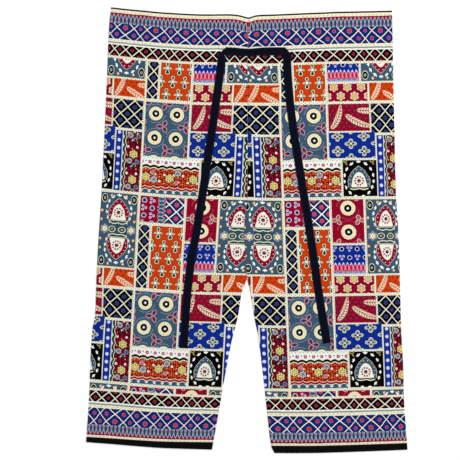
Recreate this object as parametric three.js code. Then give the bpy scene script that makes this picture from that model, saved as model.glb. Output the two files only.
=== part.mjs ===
// Thai fisherman pants laid flat on a surface, back upwards, in millimetres.
// +Z is up and +Y points to the waist. The origin is on the surface, under the middle of the outline.
// Each leg is one panel of cloth folded at the side, so it has an upper and a lower layer.
// The two panels meet at the centre seams, and each is sewn to itself along the inseam.
import * as THREE from 'three';

// Cloth and clearances
const WALL = 1.2; // thickness of one layer of cloth
const LAYER_GAP = 0.4; // air between the two layers where nothing lifts the upper one
const SEAM_GAP = 0.3; // clearance between pieces that are sewn together
const LAID_HEIGHT = 2 * WALL + LAYER_GAP;
const FOLD_RADIUS = LAID_HEIGHT / 2;
const EDGE_REST = 16; // the upper layer comes down to its laid height over this distance from a fold

// Levels along the length
const CROTCH_LEVEL = -107;
const INNER_HEM_LEVEL = -480;

// Outline, one row for each place where the edge changes direction
const LEFT_SIDE_FOLD = [
  { y: 490, x: -298.7 },
  { y: 445, x: -303 },
  { y: 287, x: -309.7 },
  { y: 102, x: -318.5 },
  { y: -30, x: -327.2 },
  { y: -132, x: -331.7 },
  { y: -189, x: -333.9 },
  { y: -215, x: -339.1 },
  { y: -281, x: -343.8 },
  { y: -374, x: -347.1 },
  { y: -467, x: -353.6 },
];
const RIGHT_SIDE_FOLD = [
  { y: 483, x: 319.6 },
  { y: 366, x: 321.8 },
  { y: 155, x: 326.2 },
  { y: 75, x: 328.4 },
  { y: 9, x: 332.8 },
  { y: -123, x: 337.2 },
  { y: -215, x: 339.4 },
  { y: -294, x: 343.8 },
  { y: -374, x: 346 },
  { y: -484, x: 353.6 },
];
const CENTRE_SEAM = [
  { y: 469, x: 3.9 },
  { y: 375, x: 1.7 },
  { y: 67, x: 1.2 },
  { y: 34, x: -3.9 },
  { y: -10, x: -6.1 },
  { y: -39, x: -4.3 },
  { y: CROTCH_LEVEL, x: 0.6 },
];
const LEFT_INSEAM = [
  { y: CROTCH_LEVEL, x: 0.6 },
  { y: -136, x: -10.5 },
  { y: -189, x: -19.2 },
  { y: -242, x: -32.5 },
  { y: -321, x: -47.9 },
  { y: -400, x: -61.5 },
  { y: -483, x: -76.5 },
];
const RIGHT_INSEAM = [
  { y: CROTCH_LEVEL, x: 0.6 },
  { y: -136, x: 7.2 },
  { y: -189, x: 16 },
  { y: -242, x: 26 },
  { y: -321, x: 35.8 },
  { y: -400, x: 44.4 },
  { y: -474, x: 53.4 },
  { y: -490, x: 61 },
];
const WAIST_EDGE = [
  { x: -298, y: 490 },
  { x: -213, y: 481.3 },
  { x: -169, y: 478 },
  { x: -103, y: 474.7 },
  { x: -37, y: 474.7 },
  { x: -15, y: 472.5 },
  { x: 3.5, y: 468.1 },
  { x: 20, y: 472.5 },
  { x: 51, y: 474 },
  { x: 117, y: 476.9 },
  { x: 205, y: 480.2 },
  { x: 320, y: 482.8 },
];
const LEFT_HEM = [
  { x: -353.6, y: -466 },
  { x: -296, y: -470.3 },
  { x: -244, y: -474.7 },
  { x: -180, y: -479.1 },
  { x: -76, y: -482.4 },
];
const RIGHT_HEM = [
  { x: 60, y: -490 },
  { x: 161, y: -489.5 },
  { x: 333, y: -483.5 },
  { x: 353.6, y: -482.4 },
];

// Depth of the black hem bands at the side fold and at the inseam
const BAND_DEPTH = {
  left: { side: 12, inner: 17 },
  right: { side: 15, inner: 16.5 },
};

// Soft ridges of the upper layer, one row each, from one end of the crest to the other
const RIDGES = [
  { place: 'pucker left of the centre seam', x0: -11, y0: 226, x1: -13, y1: 58, height: 1.7, width: 7 },
  { place: 'pucker right of the centre seam', x0: 14, y0: 208, x1: 13, y1: 40, height: 1.5, width: 7 },
  { place: 'waist, left of the centre', x0: -34, y0: 472, x1: -38, y1: 414, height: 1.3, width: 15 },
  { place: 'waist, right of the centre', x0: 42, y0: 472, x1: 47, y1: 418, height: 1.2, width: 15 },
  { place: 'waist on the left', x0: -222, y0: 478, x1: -196, y1: 336, height: 1.8, width: 20 },
  { place: 'waist on the right', x0: 196, y0: 474, x1: 178, y1: 352, height: 1.6, width: 20 },
  { place: 'left seat', x0: -150, y0: 250, x1: -118, y1: 96, height: 1.5, width: 19 },
  { place: 'right seat', x0: 178, y0: 240, x1: 158, y1: 110, height: 1.4, width: 19 },
  { place: 'left thigh', x0: -272, y0: 158, x1: -214, y1: 6, height: 1.9, width: 20 },
  { place: 'right thigh', x0: 276, y0: 128, x1: 236, y1: -34, height: 1.8, width: 20 },
  { place: 'crotch into the left thigh', x0: -22, y0: -96, x1: -128, y1: -44, height: 1.8, width: 20 },
  { place: 'crotch into the right thigh', x0: 28, y0: -100, x1: 118, y1: -58, height: 1.6, width: 20 },
  { place: 'left inner leg', x0: -48, y0: -158, x1: -92, y1: -330, height: 1.7, width: 15 },
  { place: 'right inner leg', x0: 44, y0: -168, x1: 82, y1: -318, height: 1.5, width: 15 },
  { place: 'step in the left side', x0: -318, y0: -200, x1: -232, y1: -232, height: 1.7, width: 20 },
  { place: 'left calf', x0: -262, y0: -318, x1: -214, y1: -438, height: 1.5, width: 18 },
  { place: 'right calf', x0: 268, y0: -286, x1: 236, y1: -432, height: 1.4, width: 18 },
];

// Tie belt: where it is sewn across the back, and its two free tails
const TIE_WIDTH = 18;
const TIE_THICKNESS = 1.2;
const TIE_SEWN_TOP = 402; // level of the upper edge of the sewn stretch
const TIE_CORNERS = {
  left: { top: -43.5, bottom: -63.5 }, // ends of the diagonal crease, on the upper and the lower edge
  right: { top: 82.5, bottom: 98.5 },
};
const LEFT_TAIL = [
  { x: -53.6, y: 393 },
  { x: -56.6, y: 362 },
  { x: -69.9, y: 265 },
  { x: -89, y: 133 },
  { x: -109.7, y: 1 },
  { x: -122, y: -66 },
  { x: -130.1, y: -132 },
  { x: -138.9, y: -259 },
];
const RIGHT_TAIL = [
  { x: 90, y: 393 },
  { x: 88.8, y: 362 },
  { x: 96.7, y: 265 },
  { x: 116.3, y: 133 },
  { x: 137.8, y: 1 },
  { x: 157.2, y: -132 },
  { x: 176, y: -248 },
];
const TIE_PAST_EDGE = 2; // a tail stays up until it is this far past the edge of the sewn stretch
const TIE_STEP_DOWN = 14; // and comes down onto the panel over this length

// How finely the pieces are divided
const ROWS_TO_CROTCH = 25;
const ROWS_TO_HEM = 16;
const BAND_ROWS = 2;
const PUCKER_COLUMNS = [0, 0.018, 0.036, 0.055, 0.08];
const WIDE_COLUMNS = 17;
const LOWER_COLUMNS = 5;
const SIDE_ARC_STEPS = 4;
const TIE_STEP = 26;

const COLORS = { print: 0x8a4a52, band: 0x16181a, tie: 0x151829 };

// Smooth reading of a table: the value of one column at a value of another
function curve(rows, key, value) {
  const sorted = [...rows].sort((a, b) => a[key] - b[key]);
  const slope = (i, j) => (sorted[j][value] - sorted[i][value]) / (sorted[j][key] - sorted[i][key]);
  const tangents = sorted.map((row, i) => {
    const before = Math.max(0, i - 1);
    const after = Math.min(sorted.length - 1, i + 1);
    return slope(before, after);
  });
  return (at) => {
    let i = 0;
    while (i < sorted.length - 2 && at > sorted[i + 1][key]) i += 1;
    const span = sorted[i + 1][key] - sorted[i][key];
    const t = THREE.MathUtils.clamp((at - sorted[i][key]) / span, 0, 1);
    const rise = sorted[i + 1][value] - sorted[i][value];
    const startBend = tangents[i] * span - rise;
    const endBend = rise - tangents[i + 1] * span;
    const straight = sorted[i][value] + rise * t;
    return straight + t * (1 - t) * (startBend * (1 - t) + endBend * t);
  };
}

// Height of the soft ridges at a point of the upper layer
function ridgeLift(x, y) {
  let lift = 0;
  for (const ridge of RIDGES) {
    const dx = ridge.x1 - ridge.x0;
    const dy = ridge.y1 - ridge.y0;
    const length = Math.hypot(dx, dy);
    const along = ((x - ridge.x0) * dx + (y - ridge.y0) * dy) / length;
    const across = ((x - ridge.x0) * dy - (y - ridge.y0) * dx) / length;
    const beyond = Math.max(-along, along - length, 0);
    const fade = Math.exp(-((beyond / (1.6 * ridge.width)) ** 2));
    lift += ridge.height * fade * Math.exp(-((across / ridge.width) ** 2));
  }
  return lift;
}

// One leg's outline, as functions of the level y and of the place across, 0 at the side and 1 inside
function legOutline(sign, sideRows, inseamRows, hemRows, band) {
  const side = curve(sideRows, 'y', 'x');
  const seam = curve(CENTRE_SEAM, 'y', 'x');
  const inseam = curve(inseamRows, 'y', 'x');
  const waist = curve(WAIST_EDGE, 'x', 'y');
  const hem = curve(hemRows, 'x', 'y');
  const inner = (y) => (y > CROTCH_LEVEL ? seam(y) : inseam(y)) + (sign * SEAM_GAP) / 2;
  const mix = THREE.MathUtils.lerp;
  const waistLevel = (across) => waist(mix(sideRows[0].x, CENTRE_SEAM[0].x, across));
  const hemLevel = (across) => hem(mix(sideRows.at(-1).x, inner(INNER_HEM_LEVEL), across));
  const footLevel = (across) => hemLevel(across) + mix(band.side, band.inner, across);
  return { sign, side, inner, waistLevel, hemLevel, footLevel };
}

// Upper layer's height, brought down to the laid height at the side fold and at the inseam
function upperHeight(leg, x, y) {
  const ease = (distance) => THREE.MathUtils.smoothstep(distance, 0, EDGE_REST);
  const fromSide = ease(Math.abs(x - leg.side(y)) - FOLD_RADIUS);
  const fromInseam = y > CROTCH_LEVEL + EDGE_REST ? 1 : ease(Math.abs(leg.inner(y) - x) - FOLD_RADIUS);
  return LAID_HEIGHT + ridgeLift(x, y) * fromSide * fromInseam;
}

// Places across the upper layer, from the inner edge to the side fold
function upperPlaces() {
  const last = PUCKER_COLUMNS.at(-1);
  const wide = Array.from({ length: WIDE_COLUMNS }, (_, i) => last + ((1 - last) * (i + 1)) / WIDE_COLUMNS);
  return [...PUCKER_COLUMNS, ...wide].map((fromSeam) => 1 - fromSeam);
}

function lowerPlaces() {
  return Array.from({ length: LOWER_COLUMNS + 1 }, (_, i) => i / LOWER_COLUMNS);
}

// Outer and inner points of one section through both layers, from the upper inner edge round the side
// fold to the lower inner edge. levelAt gives the level of the section at a place across.
function legSection(leg, levelAt, sewn) {
  const outer = [];
  const inner = [];
  const place = (across) => {
    const y = levelAt(across);
    const sideX = leg.side(y) - leg.sign * FOLD_RADIUS;
    const innerX = leg.inner(y) + leg.sign * FOLD_RADIUS;
    return { x: THREE.MathUtils.lerp(sideX, innerX, across), y };
  };
  const edgeY = levelAt(1);
  const edgeX = leg.inner(edgeY);
  const edgeTop = sewn ? FOLD_RADIUS : upperHeight(leg, edgeX, edgeY);
  const sewnInset = sewn ? leg.sign * WALL : 0;
  outer.push([edgeX, edgeY, edgeTop]);
  inner.push([edgeX + sewnInset, edgeY, sewn ? FOLD_RADIUS : edgeTop - WALL]);
  for (const across of upperPlaces()) {
    const { x, y } = place(across);
    const z = upperHeight(leg, x, y);
    outer.push([x, y, z]);
    inner.push([x, y, z - WALL]);
  }
  const fold = place(0);
  for (let i = 1; i < SIDE_ARC_STEPS; i += 1) {
    const turn = (Math.PI * i) / SIDE_ARC_STEPS;
    const out = leg.sign * Math.sin(turn);
    const up = Math.cos(turn);
    const inside = FOLD_RADIUS - WALL;
    outer.push([fold.x + out * FOLD_RADIUS, fold.y, FOLD_RADIUS + up * FOLD_RADIUS]);
    inner.push([fold.x + out * inside, fold.y, FOLD_RADIUS + up * inside]);
  }
  for (const across of lowerPlaces()) {
    const { x, y } = place(across);
    outer.push([x, y, 0]);
    inner.push([x, y, WALL]);
  }
  outer.push([edgeX, edgeY, sewn ? FOLD_RADIUS : 0]);
  inner.push([edgeX + sewnInset, edgeY, sewn ? FOLD_RADIUS : WALL]);
  return { outer, inner, sewn };
}

// Closed wall through a list of sections. A sewn section's first and last points are one point.
function wallGeometry(sections) {
  const count = sections[0].outer.length;
  const positions = [];
  for (const section of sections) positions.push(...section.outer.flat(), ...section.inner.flat());
  const point = (row, k, isInner) => {
    const welded = sections[row].sewn && k === count - 1 ? 0 : k;
    return (row * 2 + (isInner ? 1 : 0)) * count + welded;
  };
  const triangles = [];
  const quad = (a, b, c, d) => triangles.push(a, b, c, a, c, d);
  const lastRow = sections.length - 1;
  for (let row = 0; row < lastRow; row += 1) {
    for (let k = 0; k < count - 1; k += 1) {
      quad(point(row, k, 0), point(row + 1, k, 0), point(row + 1, k + 1, 0), point(row, k + 1, 0));
      quad(point(row, k, 1), point(row, k + 1, 1), point(row + 1, k + 1, 1), point(row + 1, k, 1));
    }
    if (sections[row].sewn) continue;
    quad(point(row, 0, 0), point(row, 0, 1), point(row + 1, 0, 1), point(row + 1, 0, 0));
    const end = count - 1;
    quad(point(row, end, 0), point(row + 1, end, 0), point(row + 1, end, 1), point(row, end, 1));
  }
  for (let k = 0; k < count - 1; k += 1) {
    quad(point(0, k, 0), point(0, k + 1, 0), point(0, k + 1, 1), point(0, k, 1));
    quad(point(lastRow, k, 0), point(lastRow, k, 1), point(lastRow, k + 1, 1), point(lastRow, k + 1, 0));
  }
  return facingOut(positions, triangles);
}

// Geometry from points and triangles, with its faces turned outwards
function facingOut(positions, triangles) {
  const corner = (i) => new THREE.Vector3().fromArray(positions, triangles[i] * 3);
  let volume = 0;
  for (let i = 0; i < triangles.length; i += 3) {
    volume += corner(i).dot(corner(i + 1).cross(corner(i + 2)));
  }
  if (volume < 0) {
    for (let i = 0; i < triangles.length; i += 3) {
      [triangles[i], triangles[i + 1]] = [triangles[i + 1], triangles[i]];
    }
  }
  const used = [...new Set(triangles)];
  const renumbered = new Map(used.map((old, i) => [old, i]));
  const geometry = new THREE.BufferGeometry();
  const packed = used.flatMap((old) => positions.slice(old * 3, old * 3 + 3));
  geometry.setAttribute('position', new THREE.Float32BufferAttribute(packed, 3));
  geometry.setIndex(triangles.map((old) => renumbered.get(old)));
  geometry.computeVertexNormals();
  return geometry;
}

function clothMesh(name, geometry, color, roughness) {
  const material = new THREE.MeshStandardMaterial({ color, roughness, metalness: 0 });
  const mesh = new THREE.Mesh(geometry, material);
  mesh.name = name;
  return mesh;
}

// Leg panel, from the waist edge to the seam above the hem band
function legPanel(name, leg) {
  const top = leg.waistLevel(1);
  const crotchShare = (top - CROTCH_LEVEL) / (top - leg.footLevel(1));
  const sections = [];
  for (let row = 0; row <= ROWS_TO_CROTCH + ROWS_TO_HEM; row += 1) {
    const below = row - ROWS_TO_CROTCH;
    const share = below <= 0
      ? (crotchShare * row) / ROWS_TO_CROTCH
      : crotchShare + ((1 - crotchShare) * below) / ROWS_TO_HEM;
    const level = (across) => THREE.MathUtils.lerp(leg.waistLevel(across), leg.footLevel(across), share);
    sections.push(legSection(leg, level, below >= 0));
  }
  return clothMesh(name, wallGeometry(sections), COLORS.print, 0.85);
}

// Hem band, a closed ring of cloth round the foot of the leg
function hemBand(name, leg) {
  const sections = [];
  for (let row = 0; row <= BAND_ROWS; row += 1) {
    const level = (across) => {
      return THREE.MathUtils.lerp(leg.footLevel(across) - SEAM_GAP, leg.hemLevel(across), row / BAND_ROWS);
    };
    sections.push(legSection(leg, level, true));
  }
  return clothMesh(name, wallGeometry(sections), COLORS.band, 0.6);
}

// Highest point of the carriers within reach of a place, so that a flat strip laid there clears them
const probe = new THREE.Raycaster();
const DOWN = new THREE.Vector3(0, 0, -1);
const PROBE_HEIGHT = 60;
function topOf(carriers, x, y, reach) {
  let top = 0;
  for (const dx of [-reach / 2, 0, reach / 2]) {
    for (const dy of [-reach / 2, 0, reach / 2]) {
      probe.set(new THREE.Vector3(x + dx, y + dy, PROBE_HEIGHT), DOWN);
      const hits = probe.intersectObjects(carriers, false);
      if (hits.length > 0) top = Math.max(top, hits[0].point.z);
    }
  }
  return top;
}

// Flat strip from rows of [left, middle, right] plan points, each with the height of its underside
function stripGeometry(rows) {
  const positions = [];
  for (const row of rows) {
    for (const p of row) positions.push(p.x, p.y, p.z);
    for (const p of row) positions.push(p.x, p.y, p.z + TIE_THICKNESS);
  }
  const wide = rows[0].length;
  const at = (row, k, isTop) => row * 2 * wide + (isTop ? wide : 0) + k;
  const triangles = [];
  const quad = (a, b, c, d) => triangles.push(a, b, c, a, c, d);
  for (let row = 0; row < rows.length - 1; row += 1) {
    for (let k = 0; k < wide - 1; k += 1) {
      quad(at(row, k, 1), at(row, k + 1, 1), at(row + 1, k + 1, 1), at(row + 1, k, 1));
      quad(at(row, k, 0), at(row + 1, k, 0), at(row + 1, k + 1, 0), at(row, k + 1, 0));
    }
    quad(at(row, 0, 0), at(row, 0, 1), at(row + 1, 0, 1), at(row + 1, 0, 0));
    quad(at(row, wide - 1, 0), at(row + 1, wide - 1, 0), at(row + 1, wide - 1, 1), at(row, wide - 1, 1));
  }
  const last = rows.length - 1;
  for (let k = 0; k < wide - 1; k += 1) {
    quad(at(0, k, 0), at(0, k + 1, 0), at(0, k + 1, 1), at(0, k, 1));
    quad(at(last, k, 0), at(last, k, 1), at(last, k + 1, 1), at(last, k + 1, 0));
  }
  return facingOut(positions, triangles);
}

// Stretch of the tie that is sewn across the back, ending at the two diagonal creases
function sewnStretch(carriers) {
  const steps = Math.round((TIE_CORNERS.right.top - TIE_CORNERS.left.top) / TIE_WIDTH) + 2;
  const rows = [];
  for (let i = 0; i <= steps; i += 1) {
    const row = [];
    for (const down of [0, 0.5, 1]) {
      const from = THREE.MathUtils.lerp(TIE_CORNERS.left.top, TIE_CORNERS.left.bottom, down);
      const to = THREE.MathUtils.lerp(TIE_CORNERS.right.top, TIE_CORNERS.right.bottom, down);
      const x = THREE.MathUtils.lerp(from, to, i / steps);
      const y = TIE_SEWN_TOP - down * TIE_WIDTH;
      row.push({ x, y, z: topOf(carriers, x, y, TIE_WIDTH) + SEAM_GAP });
    }
    rows.push(row);
  }
  return clothMesh('tie_centre', stripGeometry(rows), COLORS.tie, 0.8);
}

// Free tail: it starts on top of the sewn stretch at its diagonal crease and comes down onto the panel
function tail(name, sign, path, corner, carriers) {
  const route = new THREE.CatmullRomCurve3(path.map((p) => new THREE.Vector3(p.x, p.y, 0)));
  const length = route.getLength();
  const half = TIE_WIDTH / 2;
  const rows = [];
  const addRow = (points) => {
    rows.push(points.map(({ x, y }) => ({ x, y, z: topOf(carriers, x, y, TIE_WIDTH) + SEAM_GAP })));
  };
  const addRowAt = (distance) => {
    const p = route.getPointAt(distance / length);
    const tangent = route.getTangentAt(distance / length);
    const sides = [-half * sign, 0, half * sign];
    addRow(sides.map((out) => ({ x: p.x - tangent.y * out, y: p.y + tangent.x * out })));
  };
  const inside = { x: corner.top, y: TIE_SEWN_TOP };
  const outside = { x: corner.bottom, y: TIE_SEWN_TOP - TIE_WIDTH };
  const middle = { x: (inside.x + outside.x) / 2, y: (inside.y + outside.y) / 2 };
  const overEdge = path[0].y - (TIE_SEWN_TOP - TIE_WIDTH) + TIE_PAST_EDGE;
  addRow([inside, middle, outside]);
  addRowAt(overEdge);
  const laidFrom = overEdge + TIE_STEP_DOWN;
  const steps = Math.round((length - laidFrom) / TIE_STEP);
  for (let i = 0; i <= steps; i += 1) addRowAt(THREE.MathUtils.lerp(laidFrom, length, i / steps));
  return clothMesh(name, stripGeometry(rows), COLORS.tie, 0.8);
}

const leftLeg = legOutline(-1, LEFT_SIDE_FOLD, LEFT_INSEAM, LEFT_HEM, BAND_DEPTH.left);
const rightLeg = legOutline(1, RIGHT_SIDE_FOLD, RIGHT_INSEAM, RIGHT_HEM, BAND_DEPTH.right);
const panels = [legPanel('left_leg', leftLeg), legPanel('right_leg', rightLeg)];

const group = new THREE.Group();
group.add(...panels);
group.add(hemBand('left_hem_band', leftLeg));
group.add(hemBand('right_hem_band', rightLeg));
const sewn = sewnStretch(panels);
group.add(sewn);
group.add(tail('tie_left_tail', 1, LEFT_TAIL, TIE_CORNERS.left, [...panels, sewn]));
group.add(tail('tie_right_tail', -1, RIGHT_TAIL, TIE_CORNERS.right, [...panels, sewn]));

export default group;
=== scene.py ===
# %% [markdown]
# Thai fisherman pants, laid flat with the back upwards. The cloth is one large panel for each leg,
# folded at the side, with a patchwork print. A dark tie is sewn across the back under the waist border.
# Such a garment could be draped by a cloth simulation. Here the outline is known and the folds are low,
# so the meshes are worked out in code: that is quick, and comes out the same each time.
# The frame below is the fixed model that everything here is laid over, in metres.

# %% Load the frame
import math

import bmesh
import bpy
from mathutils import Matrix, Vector, noise


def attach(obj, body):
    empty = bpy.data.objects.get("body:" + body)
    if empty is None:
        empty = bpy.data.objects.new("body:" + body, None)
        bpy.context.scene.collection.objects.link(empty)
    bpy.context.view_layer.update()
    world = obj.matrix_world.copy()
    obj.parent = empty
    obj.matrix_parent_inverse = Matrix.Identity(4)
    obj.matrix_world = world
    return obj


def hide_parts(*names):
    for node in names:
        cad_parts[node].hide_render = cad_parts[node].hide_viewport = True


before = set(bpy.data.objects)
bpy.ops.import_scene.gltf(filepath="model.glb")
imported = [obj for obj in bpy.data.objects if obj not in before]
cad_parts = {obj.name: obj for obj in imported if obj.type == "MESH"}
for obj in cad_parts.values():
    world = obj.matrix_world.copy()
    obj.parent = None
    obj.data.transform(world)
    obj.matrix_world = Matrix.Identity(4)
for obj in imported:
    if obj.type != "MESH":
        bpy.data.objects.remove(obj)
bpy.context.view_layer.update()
print("nodes", sorted(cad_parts))

# %% [markdown]
# The photo looks straight down on the pants. An orthographic camera would give a true outline, but no
# real lens sees that way. A long lens from three metres up comes close to it and stays true to a photo.
# The picture is square, so the width it takes in is also its height.

# %% Camera
PHOTO_PIXELS = 460
MM_PER_PIXEL = 2.2
CAMERA_HEIGHT = 3.0
SENSOR = 36.0
PHOTO_CENTRE_MM = (-36.9, 0.5)

view_width = PHOTO_PIXELS * MM_PER_PIXEL / 1000
camera_data = bpy.data.cameras.new("photo_camera")
camera_data.sensor_width = SENSOR
camera_data.lens = SENSOR * CAMERA_HEIGHT / view_width
camera = bpy.data.objects.new("photo_camera", camera_data)
camera.location = (PHOTO_CENTRE_MM[0] / 1000, PHOTO_CENTRE_MM[1] / 1000, CAMERA_HEIGHT)
bpy.context.scene.collection.objects.link(camera)
bpy.context.scene.camera = camera
print("lens", round(camera_data.lens, 1), "mm for a view", round(view_width, 3), "m wide")

# %% [markdown]
# A flat lay in a white studio has almost no cast shadow. A sun lamp would draw hard edges on it. A bright
# world gives even light, and one wide area light from the upper right lets the soft folds of the cloth
# show. The floor glows a little, so that it comes out as white as the paper of a catalogue.

# %% Light and floor
WORLD_STRENGTH = 0.615
KEY_POWER = 62.0
KEY_PLACE = (1.3, 1.5, 3.0)
KEY_SIZE = 1.4
FLOOR_HALF = 4.0
FLOOR_DROP = 0.0002
FLOOR_WHITE = (0.93, 0.93, 0.93, 1.0)
FLOOR_ROUGHNESS = 0.9
FLOOR_GLOW = 0.2
WHITE = (1.0, 1.0, 1.0, 1.0)

scene = bpy.context.scene
scene.view_settings.view_transform = "Standard"
world = bpy.data.worlds.new("studio")
world.use_nodes = True
background = world.node_tree.nodes["Background"]
background.inputs["Color"].default_value = WHITE
background.inputs["Strength"].default_value = WORLD_STRENGTH
scene.world = world

key_data = bpy.data.lights.new("key", "AREA")
key_data.energy = KEY_POWER
key_data.size = KEY_SIZE
key = bpy.data.objects.new("key", key_data)
key.location = KEY_PLACE
key.rotation_euler = (Vector((0, 0, 0)) - Vector(KEY_PLACE)).to_track_quat("-Z", "Y").to_euler()
scene.collection.objects.link(key)

floor_mesh = bpy.data.meshes.new("floor")
ways = [(-1, -1), (1, -1), (1, 1), (-1, 1)]
floor_corners = [(x * FLOOR_HALF, y * FLOOR_HALF, -FLOOR_DROP) for x, y in ways]
floor_mesh.from_pydata(floor_corners, [], [(0, 1, 2, 3)])
floor = bpy.data.objects.new("floor", floor_mesh)
scene.collection.objects.link(floor)
floor_paint = bpy.data.materials.new("floor_white")
floor_paint.use_nodes = True
floor_surface = floor_paint.node_tree.nodes["Principled BSDF"]
floor_surface.inputs["Base Color"].default_value = FLOOR_WHITE
floor_surface.inputs["Roughness"].default_value = FLOOR_ROUGHNESS
floor_surface.inputs["Emission Color"].default_value = WHITE
floor_surface.inputs["Emission Strength"].default_value = FLOOR_GLOW
floor_mesh.materials.append(floor_paint)
print("floor", 2 * FLOOR_HALF, "m wide, lamp of", KEY_POWER, "W at", KEY_PLACE)

# %% [markdown]
# The outline is the laid garment's own: the side folds, the centre seam, the inseams, the waist and the
# hems. It could be one Bezier curve, drawn by hand. Short tables in millimetres say which seam each point
# belongs to, and the frame is built from the same ones, so the cloth and its solids agree.

# %% Outline of the laid pants
MM = 0.001
LAID_HEIGHT = 2.8
FOLD_RADIUS = LAID_HEIGHT / 2
SEAM_GAP = 0.3
CROTCH_Y = -107.0
EDGE_REST = 16.0
WAIST_DIP_REACH = 30.0

CENTRE_SEAM = [(469, 3.9), (375, 1.7), (67, 1.2), (34, -3.9), (-10, -6.1), (-39, -4.3), (CROTCH_Y, 0.6)]
WAIST_EDGE = [
    (-298, 490), (-213, 481.3), (-169, 478), (-103, 474.7), (-37, 474.7), (-15, 472.5),
    (3.5, 468.1), (20, 472.5), (51, 474), (117, 476.9), (205, 480.2), (320, 482.8),
]
WAIST_MIDDLE = 3.5
LEFT = {
    "name": "left_leg",
    "sign": -1,
    "side": [
        (490, -298.7), (445, -303), (287, -309.7), (102, -318.5), (-30, -327.2), (-132, -331.7),
        (-189, -333.9), (-215, -339.1), (-281, -343.8), (-374, -347.1), (-467, -353.6),
    ],
    "inseam": [
        (CROTCH_Y, 0.6), (-136, -10.5), (-189, -19.2), (-242, -32.5),
        (-321, -47.9), (-400, -61.5), (-483, -76.5),
    ],
    "hem": [(-353.6, -466), (-296, -470.3), (-244, -474.7), (-180, -479.1), (-76, -482.4)],
    "band_depth": (12.0, 17.0),
    "fold_line": ((-299.5, 490), (-353.6, -466)),
}
RIGHT = {
    "name": "right_leg",
    "sign": 1,
    "side": [
        (483, 319.6), (366, 321.8), (155, 326.2), (75, 328.4), (9, 332.8), (-123, 337.2),
        (-215, 339.4), (-294, 343.8), (-374, 346), (-484, 353.6),
    ],
    "inseam": [
        (CROTCH_Y, 0.6), (-136, 7.2), (-189, 16), (-242, 26),
        (-321, 35.8), (-400, 44.4), (-474, 53.4), (-490, 61),
    ],
    "hem": [(60, -490), (161, -489.5), (333, -483.5), (353.6, -482.4)],
    "band_depth": (15.0, 16.5),
    "fold_line": ((319.6, 482.5), (353.7, -482)),
}
print("points on the side folds", len(LEFT["side"]) + len(RIGHT["side"]))

# %% [markdown]
# A sewn edge bends smoothly between the points of its table. Blender's own curves give the places along
# their length, and here it is the place at a given height that is needed. So a small reader works it out.

# %% Smooth edges
def mix(start, end, share):
    return start + (end - start) * share


def clamp(value, low, high):
    return max(low, min(high, value))


def smooth(value, start, end):
    share = clamp((value - start) / (end - start), 0.0, 1.0)
    return share * share * (3 - 2 * share)


def curve(rows):
    """Smooth reading of a table of (place, value) rows."""
    rows = sorted(rows)
    last = len(rows) - 1
    slopes = []
    for i in range(last + 1):
        before, after = rows[max(0, i - 1)], rows[min(last, i + 1)]
        slopes.append((after[1] - before[1]) / (after[0] - before[0]))

    def read(at):
        i = 0
        while i < last - 1 and at > rows[i + 1][0]:
            i += 1
        span = rows[i + 1][0] - rows[i][0]
        rise = rows[i + 1][1] - rows[i][1]
        share = clamp((at - rows[i][0]) / span, 0.0, 1.0)
        start_bend = slopes[i] * span - rise
        end_bend = rise - slopes[i + 1] * span
        bend = start_bend * (1 - share) + end_bend * share
        return rows[i][1] + rise * share + share * (1 - share) * bend

    return read


seam_x = curve(CENTRE_SEAM)
waist_y = curve(WAIST_EDGE)
waist_line = curve([row for row in WAIST_EDGE if abs(row[0]) > WAIST_DIP_REACH])
for leg in (LEFT, RIGHT):
    leg["side_x"] = curve(leg["side"])
    leg["inseam_x"] = curve(leg["inseam"])
    leg["hem_y"] = curve(leg["hem"])


def inner_x(leg, y):
    edge = seam_x(y) if y > CROTCH_Y else leg["inseam_x"](y)
    return edge + leg["sign"] * SEAM_GAP / 2


def fold_line_x(leg, y):
    (top_x, top_y), (low_x, low_y) = leg["fold_line"]
    return mix(top_x, low_x, (top_y - y) / (top_y - low_y))


print("waist at the centre", round(waist_y(WAIST_MIDDLE), 1), "crotch", CROTCH_Y)

# %% [markdown]
# Laid cloth is never quite flat. Its relief could be sculpted, or faked with a bump. Soft ridges placed
# in millimetres show from the side as well, and the larger ones stand in the frame in the same places.
# The puckers of the centre seam and a fine unevenness are added here. The lower layer rests on the floor.

# %% Relief of the upper layer
RIDGES = [
    # start x, start y, end x, end y, height, half width
    (-11, 226, -13, 58, 1.7, 7),
    (14, 208, 13, 40, 1.5, 7),
    (-34, 472, -38, 414, 1.3, 15),
    (42, 472, 47, 418, 1.2, 15),
    (-222, 478, -196, 336, 1.8, 20),
    (196, 474, 178, 352, 1.6, 20),
    (-150, 250, -118, 96, 1.5, 19),
    (178, 240, 158, 110, 1.4, 19),
    (-272, 158, -214, 6, 1.9, 20),
    (276, 128, 236, -34, 1.8, 20),
    (-22, -96, -128, -44, 1.8, 20),
    (28, -100, 118, -58, 1.6, 20),
    (-48, -158, -92, -330, 1.7, 15),
    (44, -168, 82, -318, 1.5, 15),
    (-318, -200, -232, -232, 1.7, 20),
    (-262, -318, -214, -438, 1.5, 18),
    (268, -286, 236, -432, 1.4, 18),
]
RIDGE_END_FADE = 1.6
PUCKER_PITCH = 11.0
PUCKER_REACH = 9.0
PUCKER_RISE = 0.85
PUCKER_DRIFT = 1.3
PUCKER_DRIFT_SIZE = 23.0
QUIET_DRAG = 0.35
DRAG_LOW_END = (20, 70)
DRAG_HIGH_END = (215, 260)
UNEVEN_RISE = 0.32
UNEVEN_SIZE = 42.0


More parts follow.
